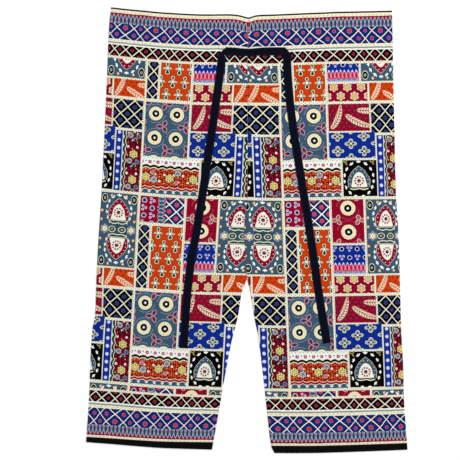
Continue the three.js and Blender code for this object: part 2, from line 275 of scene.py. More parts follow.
def ridge_lift(x, y):
    lift = 0.0
    for x0, y0, x1, y1, height, width in RIDGES:
        dx, dy = x1 - x0, y1 - y0
        length = math.hypot(dx, dy)
        along = ((x - x0) * dx + (y - y0) * dy) / length
        across = ((x - x0) * dy - (y - y0) * dx) / length
        beyond = max(-along, along - length, 0.0)
        fade = math.exp(-((beyond / (RIDGE_END_FADE * width)) ** 2))
        lift += height * fade * math.exp(-((across / width) ** 2))
    return lift


def fine_lift(leg, x, y):
    """Small unevenness, with puckers beside the centre seam where it drags on the cloth."""
    spot = Vector((x / UNEVEN_SIZE, y / UNEVEN_SIZE, 0.0))
    lift = UNEVEN_RISE * noise.noise(spot)
    if y > CROTCH_Y:
        drag = mix(QUIET_DRAG, 1.0, smooth(y, *DRAG_LOW_END) * (1 - smooth(y, *DRAG_HIGH_END)))
        near = math.exp(-abs(x - inner_x(leg, y)) / PUCKER_REACH)
        drift = PUCKER_DRIFT * math.sin(y / PUCKER_DRIFT_SIZE)
        wave = math.sin(2 * math.pi * y / PUCKER_PITCH + drift)
        lift += PUCKER_RISE * drag * near * wave
    return lift


def upper_z(leg, x, y):
    """Height of the upper layer. It settles to the laid height towards the side fold and the inseam."""
    off_side = smooth(abs(x - leg["side_x"](y)) - FOLD_RADIUS, 0, EDGE_REST)
    off_inseam = 1.0
    if y <= CROTCH_Y + EDGE_REST:
        off_inseam = smooth(abs(inner_x(leg, y) - x) - FOLD_RADIUS, 0, EDGE_REST)
    lift = ridge_lift(x, y) + fine_lift(leg, x, y)
    return LAID_HEIGHT + lift * off_side * off_inseam


print("height at the left thigh", round(upper_z(LEFT, -243, 82), 2), "mm")

# %% [markdown]
# The print is a patchwork that repeats across and along the cloth, with a border at the waist that is
# mirrored at the hem. It could be one image, but that blurs when a camera comes close. Here the patches
# follow a chart in millimetres of cloth. The mesh gets a line at every edge of a patch, so each patch can
# have a material of its own with crisp edges.

# %% Chart of the patchwork
PANEL_LENGTH = 954.0
BORDER_DEPTH = 114.0
HEM_MIRROR = 959.5
REPEAT_ACROSS = 269.5
REPEAT_ALONG = 422.4
FIRST_ROW = 198.0
CHART = [
    # patch, left, right, top, bottom
    ("black_lattice", 14.6, 82.4, 3.3, 67),
    ("teal_circles", 88.2, 185.8, 3.3, 124.3),
    ("crimson_wheat", 190.8, 280.7, 3.3, 62.7),
    ("blue_quatrefoil", 190.2, 291, 66, 122),
    ("blue_dotted_column", 24.8, 83, 72.6, 206.8),
    ("scalloped_flowers", 88.2, 213.8, 128.7, 206.8),
    ("black_medallion", 218.2, 292.2, 126.5, 206.0),
    ("crimson_and_diamonds", 88.2, 185.8, 213.4, 271.7),
    ("crimson_circles", 191, 260.6, 212.3, 309),
    ("teal_medallions", 265.6, 351.5, 213, 376.6),
    ("narrow_lattice", 88.2, 112.2, 278.3, 418.5),
    ("orange_fleur", 117.2, 185.8, 278.3, 418.5),
    ("blue_flames", 190.8, 261, 313.5, 376.6),
    ("crimson_gold", 191.2, 278.4, 381.7, 420),
    ("orange_wheat", 12.8, 83.4, 380.6, 419),
]
BORDER = [
    # strip, from, to, counted from the waist edge
    ("border_edge", 0.0, 3.6),
    ("border_teeth", 3.6, 34.0),
    ("border_diamonds", 34.0, 71.0),
    ("border_lines", 71.0, 84.5),
    ("border_lattice", 84.5, 109.0),
    ("sash", 109.0, BORDER_DEPTH),
]
LEFT.update(
    fold_print=-3.2, print_way=1.015, row_drop=(-2.0, 3.4),
    late_drop=4.2, waist_lift=3.2, sway=(1.4, 90.0, 130.0),
    border_start={"border_diamonds": (33.0, 58.6), "border_lattice": (133.6, 93.4)},
)
RIGHT.update(
    fold_print=69.0, print_way=-0.993, row_drop=(5.0, 0.0),
    late_drop=0.0, waist_lift=1.0, sway=(-2.6, 322.0, 50.0),
    border_start={"border_diamonds": (42.1, 58.6), "border_lattice": (139.4, 90.3)},
)
print(len(CHART), "patches in a repeat of", REPEAT_ACROSS, "by", REPEAT_ALONG, "mm")

# %% [markdown]
# The mesh needs a line wherever one patch meets the next, and more between them for the bends. Cutting a
# finished mesh with the knife tool would leave ragged faces. Listing the lines first gives clean rows.

# %% Lines of the mesh
ARC_LENGTH = math.pi * FOLD_RADIUS
ARC_SHARES = (0.75, 0.5, 0.25)
LEAST_STRIP = 1.2
EDGE_ROUND = 0.5


def split_lines(lines, step):
    """Fills a sorted list of lines so that none are further apart than the step."""
    filled = [lines[0]]
    for low, high in zip(lines, lines[1:]):
        parts = max(1, math.ceil((high - low) / step))
        filled += [mix(low, high, (i + 1) / parts) for i in range(parts)]
    return filled


def lines_across(leg, reach, fine, coarse):
    """Distances inward from the side fold where the mesh has a line, below 0 round the fold."""
    edges = []
    for _, left, right, _, _ in CHART:
        for edge in (left, right):
            for turn in range(-3, 4):
                edges.append((edge + turn * REPEAT_ACROSS - leg["fold_print"]) / leg["print_way"])
    upper = [0.0] + [edge for edge in sorted(edges) if LEAST_STRIP < edge < reach] + [reach]
    end = -ARC_LENGTH - reach
    lower = [edge for edge in sorted(edges) if end < edge < -ARC_LENGTH - LEAST_STRIP]
    lower = [end] + lower + [-ARC_LENGTH]
    arc = [-ARC_LENGTH * share for share in ARC_SHARES]
    return split_lines(lower, coarse) + arc + split_lines(upper, fine)


def lines_along(step):
    """Distances from the waist edge, along the cloth, where the mesh has a line."""
    edges = {EDGE_ROUND, PANEL_LENGTH}
    for _, start, end in BORDER[1:]:
        edges |= {start, end, HEM_MIRROR - start, HEM_MIRROR - end}
    for _, _, _, top, bottom in CHART:
        for edge in (top, bottom):
            for turn in range(-1, 3):
                place = FIRST_ROW + edge + turn * REPEAT_ALONG
                if BORDER_DEPTH + LEAST_STRIP < place < HEM_MIRROR - BORDER_DEPTH - LEAST_STRIP:
                    edges.add(place)
    kept = [edge for edge in sorted(edges) if edge <= PANEL_LENGTH]
    return split_lines(kept, step)


def patch_at(leg, across, along):
    """Name of the print at a place on the cloth, its zero point, and whether it is mirrored there."""
    for from_edge, mirrored in ((along, False), (HEM_MIRROR - along, True)):
        if from_edge < BORDER_DEPTH:
            for name, _, end in BORDER:
                if from_edge < end:
                    start = leg["border_start"].get(name, (0.0, 0.0))[mirrored]
                    return name, start, (HEM_MIRROR if mirrored else 0.0), mirrored
    down = (along - FIRST_ROW) % REPEAT_ALONG
    over = across % REPEAT_ACROSS
    for name, left, right, top, bottom in CHART:
        for shift in (0, REPEAT_ACROSS):
            if left <= over + shift < right and top <= down < bottom:
                return name, across - (over + shift - left), along - (down - top), False
    return "sash", across - over, along - down, False


print("lines along a panel at steps of 10 mm", len(lines_along(10.0)))

# %% [markdown]
# A print is made of inks laid over each other. The nodes for that could be placed by hand in the shader
# editor, but there are a great many. An Ink is a value in a shader, so arithmetic on it makes the nodes.
# Shapes are given as how many millimetres a point is inside them, and edge() makes that a soft mask.

# %% Shader arithmetic
BLEED = 0.55


def put(tree, slot, value):
    if isinstance(value, Ink):
        value = value.socket
    if isinstance(value, bpy.types.NodeSocket):
        tree.links.new(value, slot)
    else:
        slot.default_value = value


class Ink:
    """A value in a shader's node tree. Arithmetic on it adds a Math node and gives the node's result."""

    def __init__(self, tree, socket):
        self.tree = tree
        self.socket = socket

    def math(self, operation, *others, clamped=False):
        node = self.tree.nodes.new("ShaderNodeMath")
        node.operation = operation
        node.use_clamp = clamped
        for slot, value in zip(node.inputs, (self, *others)):
            put(self.tree, slot, value)
        return Ink(self.tree, node.outputs[0])

    def __add__(self, other):
        return self.math("ADD", other)

    def __sub__(self, other):
        return self.math("SUBTRACT", other)

    def __rsub__(self, other):
        return self.math("MULTIPLY_ADD", -1.0, other)

    def __mul__(self, other):
        return self.math("MULTIPLY", other)

    def __truediv__(self, other):
        return self.math("DIVIDE", other)

    def __neg__(self):
        return self.math("MULTIPLY", -1.0)

    def __abs__(self):
        return self.math("ABSOLUTE")

    def fract(self):
        return self.math("FRACT")

    def floor(self):
        return self.math("FLOOR")

    def sine(self):
        return self.math("SINE")

    def low(self, other):
        return self.math("MINIMUM", other)

    def high(self, other):
        return self.math("MAXIMUM", other)

    def edge(self):
        """Mask of a shape, from how far inside it a point is."""
        return self.math("MULTIPLY_ADD", 1 / BLEED, 0.5, clamped=True)

    def far(self, other):
        """Distance from zero of the point (self, other)."""
        return (self * self + other * other).math("SQRT")


def make_group(name, inputs, outputs, build):
    """Shader node group of number sockets. build takes the inputs in order and returns the outputs."""
    tree = bpy.data.node_groups.new(name, "ShaderNodeTree")
    for title, default in inputs.items():
        socket = tree.interface.new_socket(title, in_out="INPUT", socket_type="NodeSocketFloat")
        socket.default_value = default
    for title in outputs:
        tree.interface.new_socket(title, in_out="OUTPUT", socket_type="NodeSocketFloat")
    start = tree.nodes.new("NodeGroupInput")
    end = tree.nodes.new("NodeGroupOutput")
    made = build(*[Ink(tree, start.outputs[title]) for title in inputs])
    for title, value in zip(outputs, made):
        put(tree, end.inputs[title], value)
    return tree


def use_group(group, tree, *values):
    node = tree.nodes.new("ShaderNodeGroup")
    node.node_tree = group
    for slot, value in zip(node.inputs, values):
        put(tree, slot, value)
    return [Ink(tree, socket) for socket in node.outputs]


def shade(red, green, blue):
    """Colour from its values in the photo, 0 to 255."""
    channels = []
    for level in (red, green, blue):
        level /= 255
        channels.append(level / 12.92 if level <= 0.04045 else ((level + 0.055) / 1.055) ** 2.4)
    return (*channels, 1.0)


print("one mask edge is", BLEED, "mm soft")

# %% [markdown]
# The motifs that more than one patch uses are node groups, built once and placed in each material with
# its own values. A copy of the nodes in each material would work too, but each change would have to be
# made in all of them. The first groups lay things out: rows of cells, a diamond lattice, and a bloom with
# any number of petals.

# %% Layout groups
def build_cells(across, down, width, height, stagger):
    row = (down / height).floor()
    shifted = across / width + row * stagger
    return (shifted.fract() - 0.5) * width, ((down / height).fract() - 0.5) * height, shifted.floor()


def build_lattice(across, down, width, height):
    rising = (across / width + down / height).fract() - 0.5
    falling = (across / width - down / height).fract() - 0.5
    nearest = 0.5 - abs(rising).high(abs(falling))
    scale = width * height / width.far(height)
    return nearest * scale, (rising + falling) * width * 0.5, (rising - falling) * height * 0.5


def build_bloom(across, down, radius, petals, depth):
    turn = across.math("ARCTAN2", down)
    scallop = abs((turn * petals * 0.5).math("COSINE")) * depth - depth + 1.0
    distance = across.far(down)
    return radius * scallop - distance, distance, turn


CELLS = make_group(
    "cells", {"Across": 0, "Down": 0, "Width": 10, "Height": 10, "Stagger": 0.5},
    ["Across", "Down", "Column"], build_cells,
)
LATTICE = make_group(
    "lattice", {"Across": 0, "Down": 0, "Width": 30, "Height": 30}, ["Line", "Across", "Down"],
    build_lattice,
)
BLOOM = make_group(
    "bloom", {"Across": 0, "Down": 0, "Radius": 5, "Petals": 5, "Depth": 0.3},
    ["Inside", "Distance", "Turn"], build_bloom,
)
print("layout groups", [group.name for group in (CELLS, LATTICE, BLOOM)])

# %% [markdown]
# Leaves and ears of grain grow at an angle. Each could be a stencil, but a stencil can't bend. Here a point
# is first turned to run along the stem, and the outline is then a short sum. A spray is three such leaves,
# its right half mirrored on the left.

# %% Leaf groups
EAR_PITCH = 5.8
EAR_SLANT = 0.9
EAR_FULLNESS = 0.4
GRAIN_HALF = 0.31
STEM_HALF = 0.7
GRAIN_MARGIN = 1.0


def turned(across, down, turn):
    """The same point as a distance along a stem that stands at an angle, and one to its side."""
    cosine, sine = turn.math("COSINE"), turn.math("SINE")
    return across * sine - down * cosine, across * cosine + down * sine


def build_leaf(across, down, turn, length, width):
    along, side = turned(across, down, turn)
    along = along / length
    return [(along - along * along) * width * 2.0 - abs(side)]


def build_spray(across, down, turn, length, width, spread):
    along, side = turned(across, down, turn)
    side = abs(side)
    middle = use_group(LEAF, across.tree, side, -along, 0.0, length, width)[0]
    outer = use_group(LEAF, across.tree, side, -along, spread, length, width)[0]
    return [middle.high(outer)]


def build_ear(across, down, turn, length, width, bend):
    along, side = turned(across, down, turn)
    share = along / length
    side = side - bend * share * share
    swell = ((share - share * share) * 4.0).high(0.0).math("POWER", EAR_FULLNESS)
    whole = (swell * width * 0.5 - abs(side)).low(along).low(length - along)
    rows = ((along - abs(side) * EAR_SLANT) / EAR_PITCH).fract() - 0.5
    grain = (GRAIN_HALF - abs(rows)) * EAR_PITCH
    grain = grain.low(abs(side) - STEM_HALF).low(whole - GRAIN_MARGIN)
    return whole, grain


LEAF = make_group(
    "leaf", {"Across": 0, "Down": 0, "Turn": 0, "Length": 8, "Width": 4}, ["Inside"], build_leaf,
)
SPRAY = make_group(
    "spray", {"Across": 0, "Down": 0, "Turn": 0, "Length": 8, "Width": 4, "Spread": 1.0}, ["Inside"],
    build_spray,
)
EAR = make_group(
    "ear", {"Across": 0, "Down": 0, "Turn": 0, "Length": 40, "Width": 10, "Bend": 5},
    ["Whole", "Grain"], build_ear,
)
print("leaf groups", [group.name for group in (LEAF, SPRAY, EAR)])

# %% [markdown]
# The strips end in rows of pointed tongues and in scalloped lines, and two patches have a bell-shaped
# medallion. They could be drawn as curves and filled. As sums they need no points: a tongue is a parabola
# that is fuller towards one end, a scalloped line is a sine without its sign, and a bell is a flattened
# circle whose sides can widen downwards to a flat end.

# %% Edge and medallion groups
TONGUE_SLIM = 0.55
TONGUE_FULL = 0.9
TONGUE_WIDTH = 1.75
BELL_CORNER = 7.0


def build_tongues(across, down, pitch, length):
    middle = ((across / pitch).fract() - 0.5) * pitch
    share = down / length
    half = (share * (1.0 - share)).high(0.0) * (share * TONGUE_FULL + TONGUE_SLIM) * pitch * TONGUE_WIDTH
    return (half - abs(middle)).low(down).low(length - down), middle


def build_scallops(across, down, pitch, height):
    arch = (across / pitch * math.pi).sine()
    return [abs(arch) * height - down]


def build_bell(across, down, size, width, foot, point, flare):
    """Bell with a pointed top. width and foot are its half width and its flat end below, by its size."""
    wide = abs(across) / ((down.high(0.0) / size * flare + 1.0) * width)
    above = (down * -1.0).high(0.0)
    tip = above * wide / size * point
    dome = size - wide.far(above + down.high(0.0) * 0.5) - tip
    return dome.math("SMOOTH_MIN", size * foot - down, BELL_CORNER), wide.far(down)


TONGUES = make_group(
    "tongues", {"Across": 0, "Down": 0, "Pitch": 9, "Length": 18}, ["Inside", "Middle"], build_tongues,
)
SCALLOPS = make_group(
    "scallops", {"Across": 0, "Down": 0, "Pitch": 17, "Height": 3}, ["Inside"], build_scallops,
)
BELL = make_group(
    "bell", {"Across": 0, "Down": 0, "Size": 20, "Width": 0.84, "Foot": 0.8, "Point": 0.3, "Flare": 0.0},
    ["Inside", "Distance"], build_bell,
)
print("motif groups", len(bpy.data.node_groups))

# %% [markdown]
# The outlines of a block print waver a little. Bending the mesh would bend its edges too, so the place on
# the print is moved instead, by soft noise. The noise is tied to the patch, so each repeat is the same.

# %% Place on the print
WAVER = 1.1
WAVER_SIZE = 11.0


def print_socket(tree):
    """Socket with the place on the print, in millimetres."""
    place = tree.nodes.new("ShaderNodeUVMap")
    place.uv_map = "Print"
    return place.outputs["UV"]


def soft_noise(tree, place, scale, detail=2.0):
    """Noise node over the print. Its first output is a value about 0.5."""
    node = tree.nodes.new("ShaderNodeTexNoise")
    node.inputs["Scale"].default_value = scale
    node.inputs["Detail"].default_value = detail
    tree.links.new(place, node.inputs["Vector"])
    return node


def split(tree, vector):
    """The three numbers of a vector or colour socket."""
    node = tree.nodes.new("ShaderNodeSeparateXYZ")
    tree.links.new(vector, node.inputs[0])
    return [Ink(tree, socket) for socket in node.outputs]


def make_print_place():
    tree = bpy.data.node_groups.new("print_place", "ShaderNodeTree")
    titles = ("Across", "Down")
    for title in titles:
        tree.interface.new_socket(title, in_out="OUTPUT", socket_type="NodeSocketFloat")
    end = tree.nodes.new("NodeGroupOutput")
    place = print_socket(tree)
    drift = split(tree, soft_noise(tree, place, 1 / WAVER_SIZE, 1.0).outputs["Color"])
    for title, plain, moved in zip(titles, split(tree, place), drift):
        put(tree, end.inputs[title], plain + (moved - 0.5) * (2 * WAVER))
    return tree


PRINT_PLACE = make_print_place()
print("outlines waver by up to", WAVER, "mm")

# %% [markdown]
# Every patch shares the same cloth: a plain weave of fine threads, with thicker threads here and there and
# a slow fade from washing. Threads could be modelled, but thousands of them would only show close by. Two
# crossed sines give the weave, and a Bump node raises it.

# %% Woven cotton
THREAD = 0.55
SLUB_SCALE = 0.9
FADE_SCALE = 0.035
THREAD_SHADE = 0.07
SLUB_SHADE = 0.14
FADE_SHADE = 0.12
BASE_SHADE = 0.84
BASE_ROUGHNESS = 0.8
THREAD_GLOSS = 0.08
SLUB_ROUGHNESS = 0.12
WEAVE_STRENGTH = 0.35
WEAVE_HEIGHT = 0.00012
SLUB_HEIGHT = 0.8


def make_cotton():
    """Threads over a colour: gives the colour, the roughness and the normal of plain woven cotton."""
    tree = bpy.data.node_groups.new("woven_cotton", "ShaderNodeTree")
    tree.interface.new_socket("Color", in_out="INPUT", socket_type="NodeSocketColor")
    tree.interface.new_socket("Color", in_out="OUTPUT", socket_type="NodeSocketColor")
    tree.interface.new_socket("Roughness", in_out="OUTPUT", socket_type="NodeSocketFloat")
    tree.interface.new_socket("Normal", in_out="OUTPUT", socket_type="NodeSocketVector")
    start = tree.nodes.new("NodeGroupInput")
    end = tree.nodes.new("NodeGroupOutput")
    place = print_socket(tree)
    across, down, _ = split(tree, place)
    weft = (across * (math.pi / THREAD)).sine()
    warp = (down * (math.pi / THREAD)).sine()
    over = weft * warp * 0.5 + 0.5
    slub = Ink(tree, soft_noise(tree, place, SLUB_SCALE, 3.0).outputs[0])
    fade = Ink(tree, soft_noise(tree, place, FADE_SCALE).outputs[0])
    bright = over * THREAD_SHADE + (slub * SLUB_SHADE + fade * FADE_SHADE) + BASE_SHADE
    tint = tree.nodes.new("ShaderNodeVectorMath")
    tint.operation = "SCALE"
    tree.links.new(start.outputs["Color"], tint.inputs[0])
    put(tree, tint.inputs["Scale"], bright)
    tree.links.new(tint.outputs[0], end.inputs["Color"])
    put(tree, end.inputs["Roughness"], over * -THREAD_GLOSS + slub * SLUB_ROUGHNESS + BASE_ROUGHNESS)
    bump = tree.nodes.new("ShaderNodeBump")
    bump.inputs["Strength"].default_value = WEAVE_STRENGTH
    bump.inputs["Distance"].default_value = WEAVE_HEIGHT
    put(tree, bump.inputs["Height"], over + slub * SLUB_HEIGHT)
    tree.links.new(bump.outputs[0], end.inputs["Normal"])
    return tree


COTTON = make_cotton()
print("threads are", THREAD, "mm apart")

# %% [markdown]
# The cloth is printed with a small set of inks over a plain ground. One could paint a texture for each ink.
# A Mix node for each ink needs none: the ink covers what lies under it wherever its mask is 1. Cotton
# hardly shines, so the surface has almost no specular and a faint sheen.

# %% Inks laid on one patch
CREAM = shade(242, 237, 208)
PALE = shade(250, 251, 246)
BLACK = shade(3, 3, 5)
SLATE = shade(58, 86, 108)
CRIMSON = shade(142, 5, 41)
ROYAL = shade(12, 42, 138)
NAVY = shade(8, 16, 48)
ORANGE = shade(200, 60, 10)
LILAC = shade(222, 214, 246)
MINT = shade(228, 236, 222)
GOLD = shade(236, 205, 112)
PEACH = shade(242, 192, 132)
PINK_RED = shade(222, 52, 82)
FIRE = shade(226, 70, 44)
GREEN = shade(14, 52, 42)
TAN = shade(196, 164, 104)
DARK_RED = shade(112, 14, 24)
STRAW = shade(250, 232, 182)
OLIVE = shade(170, 158, 84)
ROSE = shade(196, 76, 108)
INK_TEAL = shade(28, 62, 68)
COTTON_SPECULAR = 0.02
COTTON_SHEEN = 0.016
SHEEN_ROUGHNESS = 0.5
ALONE = 200.0  # cell larger than a patch, for a motif that stands once across or down it
PAINTERS = {}


def ready(**painters):
    """Keeps the painters of a cell by the names of their patches."""
    PAINTERS.update(painters)
    print("painters ready:", ", ".join(painters))


class Patch:
    """Material of one patch: a ground colour with inks laid over it in turn."""

    def __init__(self, name, ground):
        self.material = bpy.data.materials.new(name)
        self.material.use_nodes = True
        self.tree = self.material.node_tree
        self.across, self.down = use_group(PRINT_PLACE, self.tree)
        self.colour = ground

    def lay(self, colour, inside):
        """Covers what lies below with an ink, inside a shape."""
        mixed = self.tree.nodes.new("ShaderNodeMix")
        mixed.data_type = "RGBA"
        put(self.tree, mixed.inputs[0], inside.edge())
        put(self.tree, mixed.inputs[6], self.colour)
        put(self.tree, mixed.inputs[7], colour)
        self.colour = mixed.outputs[2]

    def rings(self, inside, *inks):
        """Lays one shape in several sizes. Each ink has how far past the edge of the shape it reaches."""
        for colour, past in inks:
            self.lay(colour, inside + past)

    def discs(self, distance, *inks):
        """Lays round spots one on the other. Each ink has its radius."""
        for colour, radius in inks:
            self.lay(colour, radius - distance)

    def cells(self, width, height, at=(0.0, 0.0), stagger=0.5):
        """Places about the middle of the nearest cell. One cell has its middle at the given place."""
        across = self.across - (at[0] - width / 2)
        down = self.down - (at[1] - height / 2)
        return use_group(CELLS, self.tree, across, down, width, height, stagger)

    def single(self, across, down):
        return self.across - across, self.down - down

    def bloom(self, across, down, radius, petals=5, depth=0.3):
        return use_group(BLOOM, self.tree, across, down, radius, petals, depth)

    def dot(self, across, down, radius):
        return radius - across.far(down)

    def leaf(self, across, down, turn, length, width):
        return use_group(LEAF, self.tree, across, down, turn, length, width)[0]

    def spray(self, across, down, turn, length, width, spread=1.0):
        return use_group(SPRAY, self.tree, across, down, turn, length, width, spread)[0]

    def band(self, top, bottom):
        """Inside the strip of the patch between two levels."""
        return (self.down - top).low(bottom - self.down)

    def cloud(self, size):
        """Soft noise about zero, in spots of the given size."""
        spots = soft_noise(self.tree, print_socket(self.tree), 1 / size)
        return Ink(self.tree, spots.outputs[0]) - 0.5

    def finish(self):
        colour, rough, normal = use_group(COTTON, self.tree, self.colour)
        surface = self.tree.nodes["Principled BSDF"]
        put(self.tree, surface.inputs["Base Color"], colour)
        put(self.tree, surface.inputs["Roughness"], rough)
        put(self.tree, surface.inputs["Normal"], normal)
        surface.inputs["Specular IOR Level"].default_value = COTTON_SPECULAR
        surface.inputs["Sheen Weight"].default_value = COTTON_SHEEN
        surface.inputs["Sheen Roughness"].default_value = SHEEN_ROUGHNESS
        return self.material


print("crimson is", [round(level, 3) for level in CRIMSON[:3]], "in linear light")

# %% [markdown]
# Lattices, daisies, ears and ringed dots come back on many grounds. The nodes could be copied from patch to
# patch. Drawn by one helper each, they leave it to the patches to say where they stand and in which inks.

# %% Shared drawings
TURN = 2 * math.pi
DAISY_PETALS = 22


def beads(turn, count, pitch):
    """Distance along a ring of even beads from the nearest one. pitch is their spacing in millimetres."""
    return ((turn * (count / TURN)).fract() - 0.5) * pitch


def draw_lattice(patch, width, height, at, line, bloom_size, colours, rim):
    """Diamond lattice in cream with a bloom in each diamond. at is the middle of one diamond."""
    outer, inner, heart = colours
    gap, across, down = use_group(
        LATTICE, patch.tree, patch.across - at[0], patch.down - (at[1] - height / 2), width, height
    )
    inside, distance, _ = patch.bloom(across, down, bloom_size)
    patch.lay(outer, inside)
    patch.lay(inner, inside - rim)
    patch.lay(heart, bloom_size * 0.26 - distance)
    patch.lay(CREAM, line / 2 - gap)


def draw_daisy(patch, across, down, radius):
    """Straw-coloured daisy with many petals about a black eye."""
    inside, distance, turn = patch.bloom(across, down, radius, DAISY_PETALS, 0.09)
    patch.rings(inside, (INK_TEAL, 0.7), (CREAM, 0.0), (STRAW, -1.6))
    patch.lay(TAN, 0.85 - beads(turn, DAISY_PETALS, 3.4).far(distance - radius * 0.74))
    patch.discs(
        distance, (CREAM, radius * 0.6), (BLACK, radius * 0.5), (SLATE, radius * 0.24),
        (PALE, radius * 0.14),
    )


def draw_dashed_ring(patch, across, down, radius, colour, dashes):
    """Thin dashed ring that is open on two sides."""
    distance = across.far(down)
    turn = across.math("ARCTAN2", down)
    dash = 0.34 - abs(beads(turn, dashes, 1.0))
    arcs = ((turn * 2.0 + 0.7).sine() + 0.45) * radius
    patch.lay(colour, (0.6 - abs(distance - radius)).low(dash * (TURN * radius / dashes)).low(arcs))


def draw_ear(patch, at, turn, length, width, bend, ground):
    """Bent ear of grain in a straw outline. at is the foot of its stem."""
    across, down = patch.single(*at)
    whole, grain = use_group(EAR, patch.tree, across, down, turn, length, width, bend)
    patch.rings(whole, (STRAW, 0.0), (ground, -0.7))
    patch.lay(CREAM, grain)


def draw_ringed_dot(patch, across, down, radius, ring, core):
    distance = across.far(down)
    patch.discs(distance, (ring, radius), (core, radius * 0.62), (PALE, radius * 0.24))


def draw_trefoil(patch, across, down, reach, radius, way, area, ring, core):
    """Three ringed dots in a triangle that points sideways or down."""
    places = [(-reach, -reach * 0.8), (reach, -reach * 0.8), (0.0, reach * 0.9)]
    nearest = None
    for x, y in places:
        spot = (across - x).far(down - y) if way == "down" else (across - y).far(down - x)
        nearest = spot if nearest is None else nearest.low(spot)
    patch.lay(ring, (radius - nearest).low(area))
    patch.lay(core, (radius * 0.5 - nearest).low(area))


print("beads of a daisy are", round(360 / DAISY_PETALS, 1), "degrees apart")

# %% [markdown]
# Two patches have a large bell-shaped medallion in a ring of sprigs. One could draw it once and scale it,
# but the two differ in width and in the ground round them, so the helper takes both bells' sizes.

# %% Medallion drawings
MEDALLION_WHITE = shade(238, 240, 224)
SEED_RED = shade(150, 8, 62)
RIM_DOTS = 14
SEEDS = 10
SEED_RING = 9.0


def draw_medallion(patch, across, down, bell, field, rim, cloth):
    """Bell with a dotted rim, a pale field and a ring of crimson seeds round a blue eye."""
    inside, _ = use_group(BELL, patch.tree, across, down, *bell)
    size = bell[0]
    turn = across.math("ARCTAN2", down)
    patch.rings(inside, (BLACK, 2.9), (CREAM, 1.9), (cloth, 0.9), (BLACK, 0.6), (rim, 0.0))
    patch.lay(PALE, 1.1 - beads(turn, RIM_DOTS, size * 0.42).far(inside - 3.6))
    sunk, *form = field
    white, _ = use_group(BELL, patch.tree, across, down - sunk, *form)
    patch.rings(white, (INK_TEAL, 0.8), (MEDALLION_WHITE, 0.0))
    heart_down = down - sunk * 0.4
    far = across.far(heart_down)
    seeds = beads(across.math("ARCTAN2", heart_down), SEEDS, 5.4)
    patch.lay(SEED_RED, 1.75 - seeds.far((far - SEED_RING) * 0.8))
    patch.lay(SLATE, 4.3 - far)
    patch.lay(NAVY, 2.6 - across.far(heart_down + 1.4))
    patch.lay(PINK_RED, 1.8 - across.far(heart_down - 1.6))


def draw_sprigs(patch, across, down, radius, count, size):
    """White three-leaf sprigs standing round a medallion, further out above it than beside it."""
    turn = across.math("ARCTAN2", down)
    distance = (across * 1.14).far(down * 0.94 + 1.2)
    around = beads(turn, count, TURN * radius / count)
    patch.lay(PALE, patch.spray(around, distance - radius + 1.8, math.pi, size, size * 0.42, 0.8))


print("seeds stand", SEED_RING, "mm from the eye")

# %% [markdown]
# Some patches are crowded with small flowers. Scattering them at random would do for a meadow, but a
# printer repeats them, so rows of cells set them out here, leaves first and the large blooms on top.

# %% Flower field drawings
FIELD_PETALS = 6


def draw_field_bloom(patch, across, down, radius, colour, line, heart, area):
    """Six-petalled bloom in a black outline, with lines between its petals, inside an area."""
    petals = FIELD_PETALS
    inside, distance, turn = patch.bloom(across, down, radius, petals, 0.36)
    patch.lay(BLACK, (inside + 1.1).low(area))
    patch.lay(colour, inside.low(area))
    second, _, _ = patch.bloom(across, down, radius * 0.62, petals, 0.45)
    patch.lay(line, (0.5 - abs(second)).low(area))
    between = 0.5 - abs(beads(turn, petals, 1.0))
    patch.lay(line, (0.55 - between * (TURN / petals) * distance).low(inside).low(area))
    patch.lay(heart, (radius * 0.24 - distance).low(area))


def draw_field(patch, area, ground):
    """Crowded small flowers and black leaves on a ground, inside an area of the patch."""
    patch.lay(ground, area)
    across, down, _ = patch.cells(10.4, 7.4, at=(3.0, 2.0))
    patch.lay(BLACK, patch.spray(across, down, 0.7, 5.3, 3.2, 1.9).low(area))
    across, down, _ = patch.cells(20.8, 14.8, at=(8.0, 5.6))
    flower, distance, _ = patch.bloom(across, down, 3.0, 5, 0.36)
    patch.lay(PALE, flower.low(area))
    patch.lay(ROSE, (0.9 - distance).low(area))
    across, down, _ = patch.cells(20.8, 14.8, at=(18.0, 9.6))
    patch.lay(GOLD, (1.3 - across.far(down)).low(area))


print("a field bloom has", FIELD_PETALS, "petals")

# %% [markdown]
# The border runs along the waist and, mirrored, along the hem: a black edge, teeth, wide and narrow
# diamonds, lines, a lattice of small flowers, and a sash of gold dots that also parts the patches. It could
# be one material. As six they stay short, and the diamonds and the lattice can each start at their own
# place along the border.

# %% Border strips
BORDER_BLUE = shade(12, 48, 112)
TOOTH_LINE = shade(176, 188, 214)
BERRY = shade(204, 40, 66)
DIAMOND_PERIOD = 67.8
DIAMOND_LEVELS = (42.6, 59.4)
DIAMOND_SWAY = 2.35
LATTICE_SWAY = 3.4


def paint_sash():
    """Cream with a breath of mint and rows of gold dots."""
    patch = Patch("sash", CREAM)
    patch.lay(MINT, patch.cloud(13.0) * 1.4)
    across, down, _ = patch.cells(8.8, 2.6)
    patch.lay(shade(214, 196, 122), patch.dot(across, down, 1.15))
    patch.lay(shade(112, 104, 60), patch.dot(across, down, 0.85))
    return patch.finish()


def paint_border_edge():
    return Patch("border_edge", BLACK).finish()


